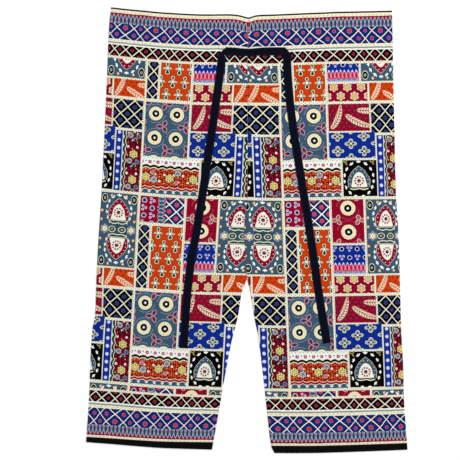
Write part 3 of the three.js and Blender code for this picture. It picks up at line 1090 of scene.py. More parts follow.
def paint_border_teeth():
    patch = Patch("border_teeth", CREAM)
    across, down, _ = patch.cells(9.0, 5.0, at=(0, 7.6), stagger=0.0)
    patch.lay(OLIVE, (1.7 - abs(across)).low(0.7 - abs(down)))
    patch.lay(BLACK, 1.0 - patch.down)
    patch.lay(CRIMSON, patch.down - 10.4)
    tongue, middle = use_group(TONGUES, patch.tree, patch.across, patch.down - 12.4, 8.7, 24.0)
    patch.lay(shade(104, 124, 156), patch.down - 25.5)
    patch.lay(TOOTH_LINE, (tongue + 0.6).low(patch.down - 13.0))
    patch.rings(tongue, (shade(84, 122, 146), -0.5), (shade(30, 66, 84), -1.5))
    wedge = patch.band(24.4, 30.6).low((patch.down - 24.0) * 0.3 - abs(abs(middle) - 4.35))
    patch.rings(wedge, (TOOTH_LINE, 0.5), (shade(176, 58, 100), 0.0))
    return patch.finish()


def paint_border_diamonds():
    """Wide and narrow diamonds by turns. Only the ropes are stretched, so the flowers stay round."""
    period = DIAMOND_PERIOD
    upper, lower = DIAMOND_LEVELS
    patch = Patch("border_diamonds", NAVY)
    stretched = patch.across - (patch.across * (TURN / period)).sine() * DIAMOND_SWAY
    height = 2 * (lower - upper)
    from_top = patch.down - (upper - height / 2)
    gap, _, _ = use_group(LATTICE, patch.tree, stretched, from_top, period / 2, height)
    patch.rings(gap, (BORDER_BLUE, -3.2), (shade(12, 38, 118), -4.6))
    patch.lay(BLACK, 2.9 - gap)
    spots = [(0.0, upper, 4.9, shade(210, 56, 44)), (period / 2, upper, 3.4, BERRY)]
    spots += [(19.3, lower, 3.7, BERRY), (48.5, lower, 3.7, BERRY)]
    for x, y, radius, colour in spots:
        across, down, _ = patch.cells(period, ALONE, at=(x, y), stagger=0.0)
        flower, distance, _ = patch.bloom(across, down, radius, 6, 0.22)
        patch.rings(flower, (shade(128, 104, 168), 1.1), (colour, 0.0))
        patch.lay(shade(176, 26, 40), (0.5 - abs(distance - radius * 0.5)).low(flower))
    patch.lay(shade(242, 232, 242), 1.0 - gap)
    return patch.finish()


def paint_border_lines():
    patch = Patch("border_lines", CREAM)
    across, down, _ = patch.cells(9.0, 7.0, at=(0, 74.6), stagger=0.0)
    patch.lay(OLIVE, (1.7 - abs(across)).low(0.7 - abs(down)))
    patch.lay(shade(168, 178, 170), patch.band(77.4, 81.8))
    patch.lay(shade(118, 134, 128), patch.band(78.6, 80.2))
    patch.lay(PALE, patch.down - 81.8)
    return patch.finish()


def paint_border_lattice():
    patch = Patch("border_lattice", BLACK)
    period = REPEAT_ACROSS / 2
    patch.across = patch.across + (patch.across * (TURN / period)).sine() * LATTICE_SWAY
    pinks = (shade(186, 60, 96), CRIMSON, CRIMSON)
    draw_lattice(patch, period / 5, 27.0, (0.0, 94.0), 1.9, 3.8, pinks, 0.7)
    return patch.finish()


ready(
    sash=paint_sash, border_edge=paint_border_edge, border_teeth=paint_border_teeth,
    border_diamonds=paint_border_diamonds, border_lines=paint_border_lines,
    border_lattice=paint_border_lattice,
)

# %% [markdown]
# Two patches are black with a cream lattice, and one is teal with rows of daisies in dashed rings and dark
# leaves between them. The lattices could share one material, but their diamonds differ in size.

# %% Lattices and daisies
LATTICE_BLUES = (shade(74, 90, 152), shade(24, 36, 104), shade(52, 68, 144))


def paint_black_lattice():
    patch = Patch("black_lattice", BLACK)
    draw_lattice(patch, 30.8, 30.8, (18.0, 16.0), 2.1, 5.2, LATTICE_BLUES, 0.9)
    return patch.finish()


def paint_narrow_lattice():
    patch = Patch("narrow_lattice", BLACK)
    draw_lattice(patch, 26.0, 29.0, (13.6, 7.2), 2.1, 4.9, LATTICE_BLUES, 0.9)
    return patch.finish()


def paint_teal_circles():
    patch = Patch("teal_circles", SLATE)
    across, down, _ = patch.cells(47.2, 54.0, at=(23.2, 25.2), stagger=0.0)
    draw_dashed_ring(patch, across, down, 21.0, shade(150, 168, 196), 26)
    for at, turn in (((41.2, 52.8), -1.6), ((50.8, 106.4), 1.57), ((44.6, 2.6), 3.6)):
        over, below, _ = patch.cells(47.2, 300.0, at=at, stagger=0.0)
        spray = patch.spray(over, below, turn, 15.2, 8.6, 2.05)
        patch.rings(spray, (LILAC, 0.7), (shade(212, 62, 82), 0.1), (INK_TEAL, -1.3))
    draw_daisy(patch, across, down, 15.9)
    return patch.finish()


ready(
    black_lattice=paint_black_lattice, narrow_lattice=paint_narrow_lattice,
    teal_circles=paint_teal_circles,
)

# %% [markdown]
# The tall teal patch has two medallions, foot to foot, and the black one has a single medallion that stands
# on a scalloped line. The lower bell could be drawn as a second one. Counting the distance from the nearer
# end instead gives a mirrored bell without another node.

# %% Medallion patches
def paint_teal_medallions():
    """Two bells, foot to foot, in a frame of sprigs and ovals. The lower half mirrors the upper one."""
    patch = Patch("teal_medallions", SLATE)
    height = 163.6
    lower_margin = 4.4
    middle = 44.4
    true_down = patch.down
    from_edge = height / 2 - abs(patch.down - height / 2)
    patch.down = patch.down.low(height - lower_margin - patch.down)
    across, down = patch.single(middle, 40.6)
    draw_sprigs(patch, across, down, 32.0, 15, 6.4)
    patch.lay(shade(44, 78, 90), (patch.down - 63.0).low(22.5 - across.far((down - 41.0) * 0.8)))
    bell = (27.4, 0.84, 0.71, 0.48, 0.0)
    draw_medallion(patch, across, down, bell, (7.0, 22.7, 0.63, 0.54, 0.1, 0.65), CRIMSON, SLATE)
    wave = use_group(SCALLOPS, patch.tree, across + 18.0, patch.down - 65.6, 18.0, 2.4)[0]
    patch.lay(INK_TEAL, (1.9 - abs(wave)).low(22.0 - abs(across)))
    patch.lay(CREAM, (0.9 - abs(wave)).low(21.0 - abs(across)))
    corners = [(33.4, 12.8, 9.8, 1.42, from_edge), (-35.6, 12.8, 9.8, 1.42, from_edge)]
    centre = [(-13.0, 80.6, 6.7, 0.78, true_down), (9.6, 80.6, 6.7, 0.78, true_down)]
    for x, y, size, narrow, counted in corners + centre:
        over = patch.across - (middle + x)
        far = (over * narrow).far(counted - y)
        patch.lay(CREAM, size - far)
        patch.lay(BLACK, size - 1.3 - far)
        patch.discs(far, (shade(176, 182, 164), size * 0.36), (SLATE, size * 0.16))
    for x, y in ((-18.6, 6.5), (16.0, 6.5), (36.2, 41.2), (36.4, 60.8), (-40.6, 40.4), (-40.6, 60.4)):
        over, below = patch.across - (middle + x), from_edge - y
        patch.lay(BLACK, patch.dot(over - 1.8, below - 0.8, 2.6))
        patch.lay(PEACH, patch.dot(over, below, 2.9))
    for x in (-31.6, 30.2):
        over, below = patch.across - (middle + x), true_down - 80.6
        inside, distance, _ = patch.bloom(over, below, 9.8, 6, 0.3)
        patch.rings(inside, (LILAC, 0.0), (INK_TEAL, -1.1), (STRAW, -3.0))
        patch.lay(OLIVE, 1.6 - distance)
    return patch.finish()


def paint_black_medallion():
    patch = Patch("black_medallion", BLACK)
    across, down = patch.single(34.8, 43.2)
    draw_sprigs(patch, across, down, 35.6, 15, 6.2)
    bell = (29.0, 0.78, 0.56, 0.46, 0.0)
    draw_medallion(patch, across, down, bell, (6.2, 23.6, 0.64, 0.42, 0.1, 0.6), SLATE, BLACK)
    wave = use_group(SCALLOPS, patch.tree, across + 20.0, patch.down - 62.0, 20.0, 2.4)[0]
    patch.lay(BLACK, (3.6 - abs(wave)).low(26.0 - abs(across)))
    patch.lay(CREAM, (1.0 - abs(wave)).low(20.0 - abs(across)))
    for x, y in ((5.5, 6.0), (64.0, 6.0)):
        over, below = patch.single(x, y)
        patch.lay(OLIVE, patch.spray(over, below, 0.8, 7.0, 2.6, 1.5))
    return patch.finish()


ready(teal_medallions=paint_teal_medallions, black_medallion=paint_black_medallion)

# %% [markdown]
# Blue, orange and crimson patches carry rows of quatrefoils, fleurs, daisies and gold blooms. Each flower
# could be placed on its own. With rows of cells that have the motif in the middle, one drawing fills the
# whole patch. Two sets of cells give the rows that stand between each other.

# %% Flowers on blue, orange and crimson
def draw_fleur(patch, across, down, size):
    """Upright fleur: a round green lobe above, a longer one below and two thin arms, outlined in cream."""
    lower = patch.leaf(across, down, math.pi, size * 1.3, size * 0.46)
    lower = lower.high(size * 0.42 - across.far(down - size * 0.9))
    upper = patch.leaf(across, down, 0.0, size * 1.2, size * 0.36)
    upper = upper.high(size * 0.33 - across.far(down + size * 0.92))
    arms = patch.leaf(abs(across), down + 0.9, math.pi * 0.56, size * 0.98, size * 0.3)
    shape = lower.high(upper).high(arms)
    patch.rings(shape, (BLACK, 1.7), (CREAM, 0.8))
    patch.lay(GREEN, lower.high(upper) - 0.6)
    patch.lay(shade(74, 98, 58), arms - 0.5)
    patch.lay(PALE, size * 0.2 - across.far(down))


def draw_quatrefoil(patch, across, down, size):
    """Four round petals with a thick cream outline and a green heart, a little wider than tall."""
    inside, distance, _ = patch.bloom(across, down * 1.18, size, 4, 0.6)
    patch.rings(inside, (BLACK, 1.2), (CREAM, 0.7), (GREEN, -1.3))
    patch.lay(PALE, 0.55 - abs(inside - 3.6))
    patch.discs(distance, (PALE, size * 0.2), (NAVY, size * 0.07))


def paint_blue_quatrefoil():
    patch = Patch("blue_quatrefoil", ROYAL)
    for at in ((19.0, 8.4), (47.7, 24.6)):
        across, down, _ = patch.cells(57.5, 32.4, at=at, stagger=0.0)
        draw_quatrefoil(patch, across, down, 12.4)
    return patch.finish()


def paint_orange_fleur():
    patch = Patch("orange_fleur", ORANGE)
    for at in ((14.6, 15.4), (27.9, 43.5)):
        across, down, _ = patch.cells(26.8, 56.0, at=at, stagger=0.0)
        draw_fleur(patch, across, down, 9.6)
    return patch.finish()


def paint_crimson_circles():
    patch = Patch("crimson_circles", CRIMSON)
    across, down, _ = patch.cells(ALONE, 52.5, at=(35.4, 19.6), stagger=0.0)
    draw_dashed_ring(patch, across, down, 24.5, ROSE, 30)
    for at, turn in (((11.0, 46.0), 0.4), ((60.0, 46.0), -0.4)):
        over, below, _ = patch.cells(ALONE, 52.5, at=at, stagger=0.0)
        spray = patch.spray(over, below, turn, 12.5, 7.6, 2.0)
        patch.rings(spray, (CREAM, 0.8), (GREEN, -0.3), (ROSE, -1.4))
    draw_daisy(patch, across, down, 16.6)
    return patch.finish()


def paint_crimson_gold():
    patch = Patch("crimson_gold", CRIMSON)
    across, down, _ = patch.cells(30.0, 19.6, at=(13.4, 7.4))
    inside, distance, _ = patch.bloom(across, down, 9.8, 6, 0.34)
    patch.rings(inside, (DARK_RED, 0.9), (CREAM, 0.0))
    petals, _, _ = patch.bloom(across, down, 7.4, 6, 0.4)
    patch.rings(petals, (DARK_RED, 0.0), (GOLD, -1.5))
    patch.discs(distance, (TAN, 2.9), (PEACH, 2.0))
    return patch.finish()


ready(
    blue_quatrefoil=paint_blue_quatrefoil, orange_fleur=paint_orange_fleur,
    crimson_circles=paint_crimson_circles, crimson_gold=paint_crimson_gold,
)

# %% [markdown]
# The wheat-like leaves are bent ears on a ground of small seeds, three to a patch. Rows of cells would cut
# such long motifs, so each ear has a place of its own. They overlap, and the last one lies on top.

# %% Ears on crimson and orange
def paint_wheat(name, ground, seeds, ears):
    """Seeds on a ground, with ears given by their foot, angle, length, width and bend."""
    patch = Patch(name, ground)
    across, down, _ = patch.cells(12.0, 9.0, at=(4.0, 5.0))
    patch.lay(seeds, patch.dot(across, down, 1.7))
    for at, turn, length, width, bend in ears:
        draw_ear(patch, at, turn, length, width, bend, ground)
    return patch.finish()


def paint_crimson_wheat():
    ears = [
        ((5.2, 54.0), 0.82, 52.0, 13.0, -22.0),
        ((38.2, 23.5), 2.3, 60.0, 13.5, -17.0),
        ((63.0, 14.5), 1.62, 44.0, 12.5, 0.0),
    ]
    return paint_wheat("crimson_wheat", CRIMSON, shade(40, 76, 84), ears)


def paint_orange_wheat():
    ears = [
        ((4.5, 37.0), 0.66, 44.0, 12.0, -9.0),
        ((30.5, 17.0), 2.24, 44.0, 11.4, -8.0),
        ((54.6, 10.0), 1.62, 40.0, 12.0, 0.0),
    ]
    return paint_wheat("orange_wheat", ORANGE, DARK_RED, ears)


ready(crimson_wheat=paint_crimson_wheat, orange_wheat=paint_orange_wheat)

# %% [markdown]
# Two patches set rings and trefoils by turns, like a draughts board, next to a strip of tongues. The board
# could be two rows of cells. One row does for both, as the number of the column says which motif it holds.

# %% Rings, trefoils and tongues
def every_other(column):
    """Above zero in the even columns and below zero in the odd ones."""
    return (0.25 - (column * 0.5).fract()) * 20.0


def paint_blue_flames():
    patch = Patch("blue_flames", ROYAL)
    across, down, column = patch.cells(16.9, 19.0, at=(19.0, 8.2), stagger=1.0)
    even = every_other(column)
    rows = patch.band(-4.0, 34.0)
    distance = across.far(down)
    patch.lay(LILAC, (5.0 - distance).low(even).low(rows))
    patch.lay(BLACK, (3.7 - distance).low(even).low(rows))
    draw_trefoil(patch, across, down, 3.6, 2.5, "down", (-even).low(rows), LILAC, NAVY)
    flames = patch.band(38.0, 56.0)
    tongue, _ = use_group(TONGUES, patch.tree, patch.across, patch.down - 37.5, 8.6, 21.0)
    patch.lay(INK_TEAL, flames.low(patch.down - 44.0))
    patch.lay(LILAC, (tongue + 0.5).low(flames))
    patch.lay(shade(226, 130, 166), (tongue + 0.1).low(flames).low(patch.down - 43.0))
    patch.lay(shade(214, 58, 84), (tongue - 0.9).low(flames).low(patch.down - 42.0))
    patch.lay(shade(192, 30, 52), (tongue - 1.9).low(flames).low(patch.down - 45.0))
    patch.lay(ROSE, patch.down - 55.6)
    patch.lay(shade(150, 162, 206), patch.down - 57.8)
    patch.lay(NAVY, patch.band(58.8, 60.2).low((patch.across * 0.55).sine() * 2.0))
    return patch.finish()


def paint_crimson_and_diamonds():
    patch = Patch("crimson_and_diamonds", CRIMSON)
    across, down, column = patch.cells(18.0, 16.8, at=(9.0, 9.6), stagger=1.0)
    even = every_other(column)
    left = 40.0 - patch.across
    distance = across.far(down)
    patch.lay(LILAC, (5.6 - distance).low(even).low(left))
    patch.lay(shade(58, 96, 140), (4.3 - distance).low(even).low(left))
    patch.lay(NAVY, (2.4 - distance).low(even).low(left))
    draw_trefoil(patch, across, down, 4.0, 2.9, "right", (-even).low(left), LILAC, SLATE)
    tongue, _ = use_group(TONGUES, patch.tree, patch.down, 56.5 - patch.across, 8.6, 17.0)
    strip = (patch.across - 40.0).low(56.5 - patch.across)
    patch.lay(CRIMSON, strip)
    patch.lay(LILAC, (tongue + 0.9).low(strip))
    patch.lay(shade(46, 92, 104), tongue.low(strip))
    field = patch.across - 56.5
    gap, over, below = use_group(LATTICE, patch.tree, patch.across - 80.5, patch.down - 0.4, 32.0, 30.4)
    patch.lay(NAVY, field)
    patch.lay(BORDER_BLUE, (gap - 3.2).low(field))
    patch.lay(BLACK, (2.2 - gap).low(field))
    flower, distance, _ = patch.bloom(over, below, 4.8, 5, 0.25)
    patch.lay(shade(150, 90, 150), (flower + 0.6).low(field))
    patch.lay(PINK_RED, flower.low(field))
    patch.lay(FIRE, (1.8 - distance).low(field))
    patch.lay(PALE, (1.1 - gap).low(field))
    return patch.finish()


ready(blue_flames=paint_blue_flames, crimson_and_diamonds=paint_crimson_and_diamonds)

# %% [markdown]
# Two patches are fields of flowers behind wavy lines, with a row of dots beyond each line. The waves could
# be strips of mesh. As a scalloped line laid in several widths, each outline follows the one under it.

# %% Bands of scallops and flowers
YELLOW_BLOOM = shade(246, 234, 150)
WHITE_BLOOM = shade(224, 230, 238)
SCALLOP = 17.9


def paint_scalloped_flowers():
    """A field of flowers between a black wavy line and a crimson one."""
    patch = Patch("scalloped_flowers", ORANGE)
    field = patch.band(20.0, 62.0)
    draw_field(patch, field, shade(214, 66, 30))
    pitch = 52.6
    over, below, _ = patch.cells(pitch, ALONE, at=(61.4, 42.0), stagger=0.0)
    draw_field_bloom(patch, over, below, 9.8, YELLOW_BLOOM, GREEN, GOLD, field)
    blush = shade(238, 204, 214)
    spots = [(79.4, 30.0, 7.2, WHITE_BLOOM, BLACK), (27.1, 47.0, 7.8, WHITE_BLOOM, BLACK)]
    spots += [(76.4, 51.5, 5.2, blush, ROSE), (22.6, 31.5, 5.2, blush, ROSE)]
    for x, y, radius, colour, line in spots:
        over, below, _ = patch.cells(2 * pitch, ALONE, at=(x, y), stagger=0.0)
        draw_field_bloom(patch, over, below, radius, colour, line, SLATE, field)
    wavy = use_group(SCALLOPS, patch.tree, patch.across + 0.2, patch.down - 16.8, SCALLOP, -3.6)[0]
    wavy = wavy.low(patch.down * -1.0 + 40.0)
    patch.rings(
        wavy, (CRIMSON, 8.8), (CREAM, 7.8), (BLACK, 5.9), (CREAM, 0.6), (shade(236, 240, 238), -0.8),
    )
    over, below, _ = patch.cells(SCALLOP, ALONE, at=(16.2, 7.8), stagger=0.0)
    draw_ringed_dot(patch, over, below, 3.9, ROSE, shade(150, 40, 70))
    over, below, _ = patch.cells(SCALLOP, ALONE, at=(7.3, 6.2), stagger=0.0)
    patch.lay(SLATE, patch.dot(over, below, 1.5))
    from_foot = patch.down * -1.0 + 67.5
    lower = use_group(SCALLOPS, patch.tree, patch.across + 9.1, from_foot, SCALLOP, -3.2)[0]
    patch.rings(lower, (CREAM, 7.0), (CRIMSON, 5.8), (CREAM, 1.0), (SLATE, -0.4))
    over, below, _ = patch.cells(SCALLOP, ALONE, at=(17.7, 73.4), stagger=0.0)
    patch.lay(shade(206, 222, 232), patch.dot(over, below, 3.1))
    return patch.finish()


def paint_blue_dotted_column():
    """A narrow blue band of white dots, a wavy green line and a field of flowers, from top to bottom."""
    patch = Patch("blue_dotted_column", CRIMSON)
    field = patch.across - 23.0
    draw_field(patch, field, CRIMSON)
    over, below, _ = patch.cells(ALONE, 57.0, at=(42.0, 51.0), stagger=0.0)
    spots = [
        (-8.5, 15.5, 6.4, WHITE_BLOOM, BLACK),
        (9.0, 16.5, 5.4, shade(150, 170, 220), NAVY),
        (2.0, 24.0, 4.6, WHITE_BLOOM, BLACK),
    ]
    for x, y, radius, colour, line in spots:
        draw_field_bloom(patch, over - x, below - y, radius, colour, line, SLATE, field)
    leaves, under, _ = patch.cells(13.0, 57.0, at=(30.0, 23.0), stagger=0.0)
    patch.lay(BLACK, patch.spray(leaves, under, 0.4, 6.5, 3.4, 2.1).low(field))
    draw_field_bloom(patch, over, below, 9.6, YELLOW_BLOOM, GREEN, GOLD, field)
    wavy = use_group(SCALLOPS, patch.tree, patch.down + 4.0, patch.across - 20.6, 18.0, -3.4)[0]
    patch.rings(wavy, (BLACK, 7.2), (CREAM, 6.0), (BLACK, 4.6), (shade(24, 66, 62), 3.2), (CREAM, -0.2))
    patch.lay(BLACK, 17.6 - patch.across)
    patch.lay(PALE, 16.9 - patch.across)
    patch.lay(ROYAL, 15.6 - patch.across)
    over, below, _ = patch.cells(ALONE, 17.5, at=(7.6, 4.6), stagger=0.0)
    patch.lay(shade(150, 166, 228), patch.dot(over, below, 4.2))
    patch.lay(shade(228, 232, 252), patch.dot(over, below, 2.9))
    over, below, _ = patch.cells(ALONE, 17.5, at=(7.6, 13.3), stagger=0.0)
    patch.lay(shade(90, 50, 150), patch.dot(over, below, 1.4))
    return patch.finish()


ready(
    scalloped_flowers=paint_scalloped_flowers, blue_dotted_column=paint_blue_dotted_column,
)

# %% [markdown]
# The hem bands are black and the tie is navy. Plain as they are, a row of stitches along the edge tells
# the eye that they are sewn. Modelled stitches would be finer than a pixel, so they are inks as well.

# %% Plain dark cloths
HEM_STITCH = 2.6
HEM_STITCH_AT = 1.8
FOLD_HIGHLIGHT_FROM = 14.4
TIE_WIDTH = 18.0
TIE_STITCH = 3.0
TIE_STITCH_AT = 1.9


def stitches(along, across, pitch, half, share):
    """Row of dashes. share is half the part of the pitch that a stitch covers, half is half its width."""
    dash = share - abs((along / pitch).fract() - 0.5)
    return (half - abs(across)).low(dash * pitch)


def paint_hem_band():
    """Black cotton, with the row of stitches that holds it to the leg and a painted highlight along the
    lower fold.
    """
    patch = Patch("hem_band", shade(11, 12, 14))
    patch.lay(shade(34, 35, 39), stitches(patch.across, patch.down - HEM_STITCH_AT, HEM_STITCH, 0.35, 0.34))
    # Painted highlight: a lighter, uneven strip along the rolled lower fold stands in for the light on that
    # edge.
    patch.lay(shade(24, 25, 28), patch.cloud(9.0) * 2.0 + patch.down - FOLD_HIGHLIGHT_FROM)
    return patch.finish()


def paint_tie_navy():
    """Navy tape with a row of stitches along both edges."""
    patch = Patch("tie_navy", shade(10, 13, 27))
    from_edge = TIE_WIDTH / 2 - abs(patch.across - TIE_WIDTH / 2)
    patch.lay(shade(30, 34, 54), stitches(patch.down, from_edge - TIE_STITCH_AT, TIE_STITCH, 0.3, 0.36))
    return patch.finish()


def cloth_paint(patch):
    """Material of a patch, made the first time it is asked for."""
    return bpy.data.materials.get(patch) or PAINTERS[patch]()


ready(hem_band=paint_hem_band, tie_navy=paint_tie_navy)

# %% [markdown]
# A place on the cloth is given by the distance inward from the side fold and the distance along the cloth
# from the waist edge. Where that lies on the floor depends on the outline, and the outline's width depends
# on where it lies. A few rounds of trying settle both, which is simpler than solving for them.

# %% Places on the laid cloth
SIDE_BLEND = 40.0
SWAY_FROM, SWAY_FULL = 100, 240
SETTLE_ROUNDS = 4
HEM_CENTRE_Y = -480.0


def width_at(leg, y):
    return abs(inner_x(leg, y) - leg["side_x"](y))


def waist_level(leg, across):
    """Level of the waist without its dip at the seam, and the dip, which the print soon loses."""
    x = mix(leg["side"][0][1], CENTRE_SEAM[0][1], across)
    return waist_line(x), waist_line(x) - waist_y(x)


def hem_level(leg, across):
    return leg["hem_y"](mix(leg["side"][-1][1], inner_x(leg, HEM_CENTRE_Y), across))


def foot_level(leg, across):
    side, inner = leg["band_depth"]
    return hem_level(leg, across) + mix(side, inner, across)


def settle(leg, depth_from_side, level_at):
    """Level and width of the cloth at a distance from the side, where the two depend on each other."""
    across = 0.5
    for _ in range(SETTLE_ROUNDS):
        y = level_at(across)
        width = width_at(leg, y)
        across = clamp(depth_from_side(y, width) / width, 0.0, 1.0)
    return y, width


def side_offset(leg, y, inward):
    """How far the print lies inward of a straight fold line. The cloth sways a little beside the seam."""
    amount, middle, reach = leg["sway"]
    sway = amount * smooth(inward, SWAY_FROM, SWAY_FULL) * math.exp(-(((y - middle) / reach) ** 2))
    return (leg["side_x"](y) - fold_line_x(leg, y)) * leg["sign"] + sway


def from_side(leg, inward, y):
    """Distance from the laid side edge of a place that is so far inward from the cloth's fold line."""
    near = 1 - smooth(inward, 0, SIDE_BLEND)
    return inward + FOLD_RADIUS * near + side_offset(leg, y, inward) * (1 - near)


print("width of the left leg at the crotch", round(width_at(LEFT, CROTCH_Y)), "mm")

# %% [markdown]
# Each leg is one thin shell. It starts at the centre seam, runs out over the upper layer, turns round the
# side fold and comes back under. A flat sheet could be bent with a Simple Deform modifier, but the fold
# follows the side's own outline, so each point is placed on its layer or on the arc between the two.

# %% Points of the cloth
SEAM_STRIP = [2.6, 1.7, 0.9, 0.3, 0.0]
SEAM_DROP = 1.7
SEAM_TAKEN = 0.8


def is_sewn(y):
    """The legs are closed below the crotch. Above it the edge is the centre seam."""
    return y <= CROTCH_Y


def seam_bend(inset):
    """Quarter round of the edge, from 0 at the start of the seam strip to 1 at the edge."""
    return 1 - math.sqrt(max(0.0, 1 - (1 - inset / SEAM_STRIP[0]) ** 2))


class ClothGrid:
    """Points of one leg's cloth, row by row, each with its place on the print."""

    def __init__(self, leg, level_at, foot):
        self.leg = leg
        self.level_at = level_at
        self.foot = foot

    def point(self, inward, edge_inset, along):
        """Point of the outer surface, the way to the cloth's inside, and the place across the print."""
        leg = self.leg
        lower = inward <= -ARC_LENGTH
        in_arc = -ARC_LENGTH < inward < 0
        reach = -ARC_LENGTH - inward if lower else max(0.0, inward)

        def depth(y, width):
            wanted = from_side(leg, reach, y)
            if edge_inset is None:
                return min(wanted, width - SEAM_STRIP[0])
            return width - edge_inset

        y, width = settle(leg, depth, lambda across: self.level_at(across, along))
        distance = depth(y, width)
        x = leg["side_x"](y) - leg["sign"] * distance
        if in_arc:
            turn = math.pi * -inward / ARC_LENGTH
            out = Vector((leg["sign"] * math.sin(turn), 0, math.cos(turn)))
            axis = Vector((leg["side_x"](y) - leg["sign"] * FOLD_RADIUS, y, FOLD_RADIUS))
            return axis + out * FOLD_RADIUS, -out, inward
        inner_strip = max(0.0, distance - (width - SEAM_STRIP[0]))
        printed = reach
        if distance > SIDE_BLEND:
            printed = distance - SEAM_TAKEN * inner_strip - side_offset(leg, y, distance)
        if lower:
            z = self.edge_rise(y, width - distance)
            return Vector((x, y, z)), Vector((0, 0, 1)), -ARC_LENGTH - printed
        z = upper_z(leg, x, y) - self.edge_fall(x, y, width - distance, along)
        return Vector((x, y, z)), Vector((0, 0, -1)), printed

    def edge_fall(self, x, y, inset, along):
        """How far the upper layer turns down at the centre seam or the inseam, and at the hem seam."""
        fall = 0.0
        if inset < SEAM_STRIP[0]:
            deepest = upper_z(self.leg, x, y) - FOLD_RADIUS if is_sewn(y) else SEAM_DROP
            fall = deepest * seam_bend(inset)
        return fall + self.foot(along)

    def edge_rise(self, y, inset):
        """How far the lower layer turns up at the same edges."""
        if inset >= SEAM_STRIP[0]:
            return 0.0
        return seam_bend(inset) * (FOLD_RADIUS if is_sewn(y) else FOLD_RADIUS / 2)


print("arc round the side fold", round(ARC_LENGTH, 1), "mm")

# %% [markdown]
# Leg panels and hem bands are the same kind of mesh: rows of points with faces between them. Blender can
# bridge such rows as edge loops. Making the faces in code lets each corner carry its place on the print and
# in the baked image, and each face the material of the patch that it lies in.

# %% Mesh of a cloth
LEAST_EDGE = 1e-6
WELD_DISTANCE = 2e-6
BAKE_REACH = 345.0
BAKE_UPPER = (0.40, 0.98)
BAKE_LOWER = (0.38, 0.02)
BAKE_DOWN = (0.02, 0.98)
BAKE_MARGIN = 0.01


def bake_place(printed, along, length):
    """Place in the baked image: the upper layer takes three fifths of its width."""
    if printed >= 0:
        across = mix(*BAKE_UPPER, printed / BAKE_REACH)
    else:
        across = mix(*BAKE_LOWER, (-printed - ARC_LENGTH) / BAKE_REACH)
    return clamp(across, BAKE_MARGIN, 1 - BAKE_MARGIN), 1 - mix(*BAKE_DOWN, along / length)


def cloth_mesh(name, grid, rows, columns, paint_at, length, unit=1.0):
    """Mesh through all rows and columns. Each row is (along, depth inside). unit is the mm in one along."""
    leg = grid.leg
    mesh = bmesh.new()
    print_map = mesh.loops.layers.uv.new("Print")
    bake_map = mesh.loops.layers.uv.new("OFBake")
    places = [(-ARC_LENGTH - 1, inset) for inset in reversed(SEAM_STRIP[1:])]
    places += [(inward, None) for inward in columns]
    places += [(1.0, inset) for inset in SEAM_STRIP[1:]]
    grid_points = []
    for along, inside in rows:
        line = []
        for inward, inset in places:
            spot, to_inside, printed = grid.point(inward, inset, along)
            spot = spot + to_inside * inside
            spot.z = max(spot.z, 0.0)
            vertex = mesh.verts.new(spot * MM)
            line.append((vertex, leg["fold_print"] + leg["print_way"] * printed, along, printed))
        grid_points.append(line)
    materials = {}
    top_first = leg["sign"] < 0
    for upper_row, lower_row in zip(grid_points, grid_points[1:]):
        for k in range(len(places) - 1):
            corners = [upper_row[k], upper_row[k + 1], lower_row[k + 1], lower_row[k]]
            if top_first:
                corners.reverse()
            kept = []
            for corner in corners:
                if all((corner[0].co - other[0].co).length > LEAST_EDGE for other in kept):
                    kept.append(corner)
            if len(kept) < 3:
                continue
            face = mesh.faces.new([corner[0] for corner in kept])
            face.smooth = True
            across = sum(corner[1] for corner in kept) / len(kept)
            along = sum(corner[2] for corner in kept) / len(kept)
            patch, zero_across, zero_along, mirrored = paint_at(leg, across, along)
            face.material_index = materials.setdefault(patch, len(materials))
            for loop, corner in zip(face.loops, kept):
                down = zero_along - corner[2] if mirrored else corner[2] - zero_along
                loop[print_map].uv = (corner[1] - zero_across, down * unit)
                loop[bake_map].uv = bake_place(corner[3], corner[2], length)
    bmesh.ops.remove_doubles(mesh, verts=mesh.verts, dist=WELD_DISTANCE)
    loose = [vertex for vertex in mesh.verts if not vertex.link_faces]
    bmesh.ops.delete(mesh, geom=loose, context="VERTS")
    data = bpy.data.meshes.new(name)
    mesh.to_mesh(data)
    mesh.free()
    for patch in materials:
        data.materials.append(cloth_paint(patch))
    piece = bpy.data.objects.new(name, data)
    scene.collection.objects.link(piece)
    return piece


print("the baked image has room for", BAKE_REACH, "mm of each layer")

# %% [markdown]
# The rows of the print sag a little down the leg, and lie higher just below the waist. The cloth is turned
# in at the waist, so the mesh starts inside and comes round the edge. A Solidify modifier would give an
# edge too, but a sharp one all round, also where the cloth is sewn shut.

# %% Leg panels
TURN_IN = 10.0
TURN_DEPTH = 1.1
EDGE_STEPS = 5
FINE_STEP = 6.0
COARSE_STEP = 13.0
ROW_STEP = 6.5
FOOT_DROP = 0.7
FOOT_ROUND = 2.0
WAIST_LIFT_AT, WAIST_LIFT_REACH = 95.0, 38.0
LATE_DROP_AT, LATE_DROP_REACH = 0.84, 0.12
DIP_FADE = (20.0, 125.0)


def panel_level(leg):
    """Reader of the level on the floor of a place on the panel."""
    def level(across, along):
        share = along / PANEL_LENGTH
        drop = mix(*leg["row_drop"], across) * math.sin(math.pi * clamp(share, 0.0, 1.0))
        drop -= leg["waist_lift"] * math.exp(-(((along - WAIST_LIFT_AT) / WAIST_LIFT_REACH) ** 2))
        drop += leg["late_drop"] * across * math.exp(-(((share - LATE_DROP_AT) / LATE_DROP_REACH) ** 2))
        waist, dip = waist_level(leg, across)
        drop += dip * (1 - smooth(along, *DIP_FADE))
        return mix(waist, foot_level(leg, across), share) - drop

    return level


def panel_foot(along):
    return FOOT_DROP * smooth(along, PANEL_LENGTH - FOOT_ROUND, PANEL_LENGTH)


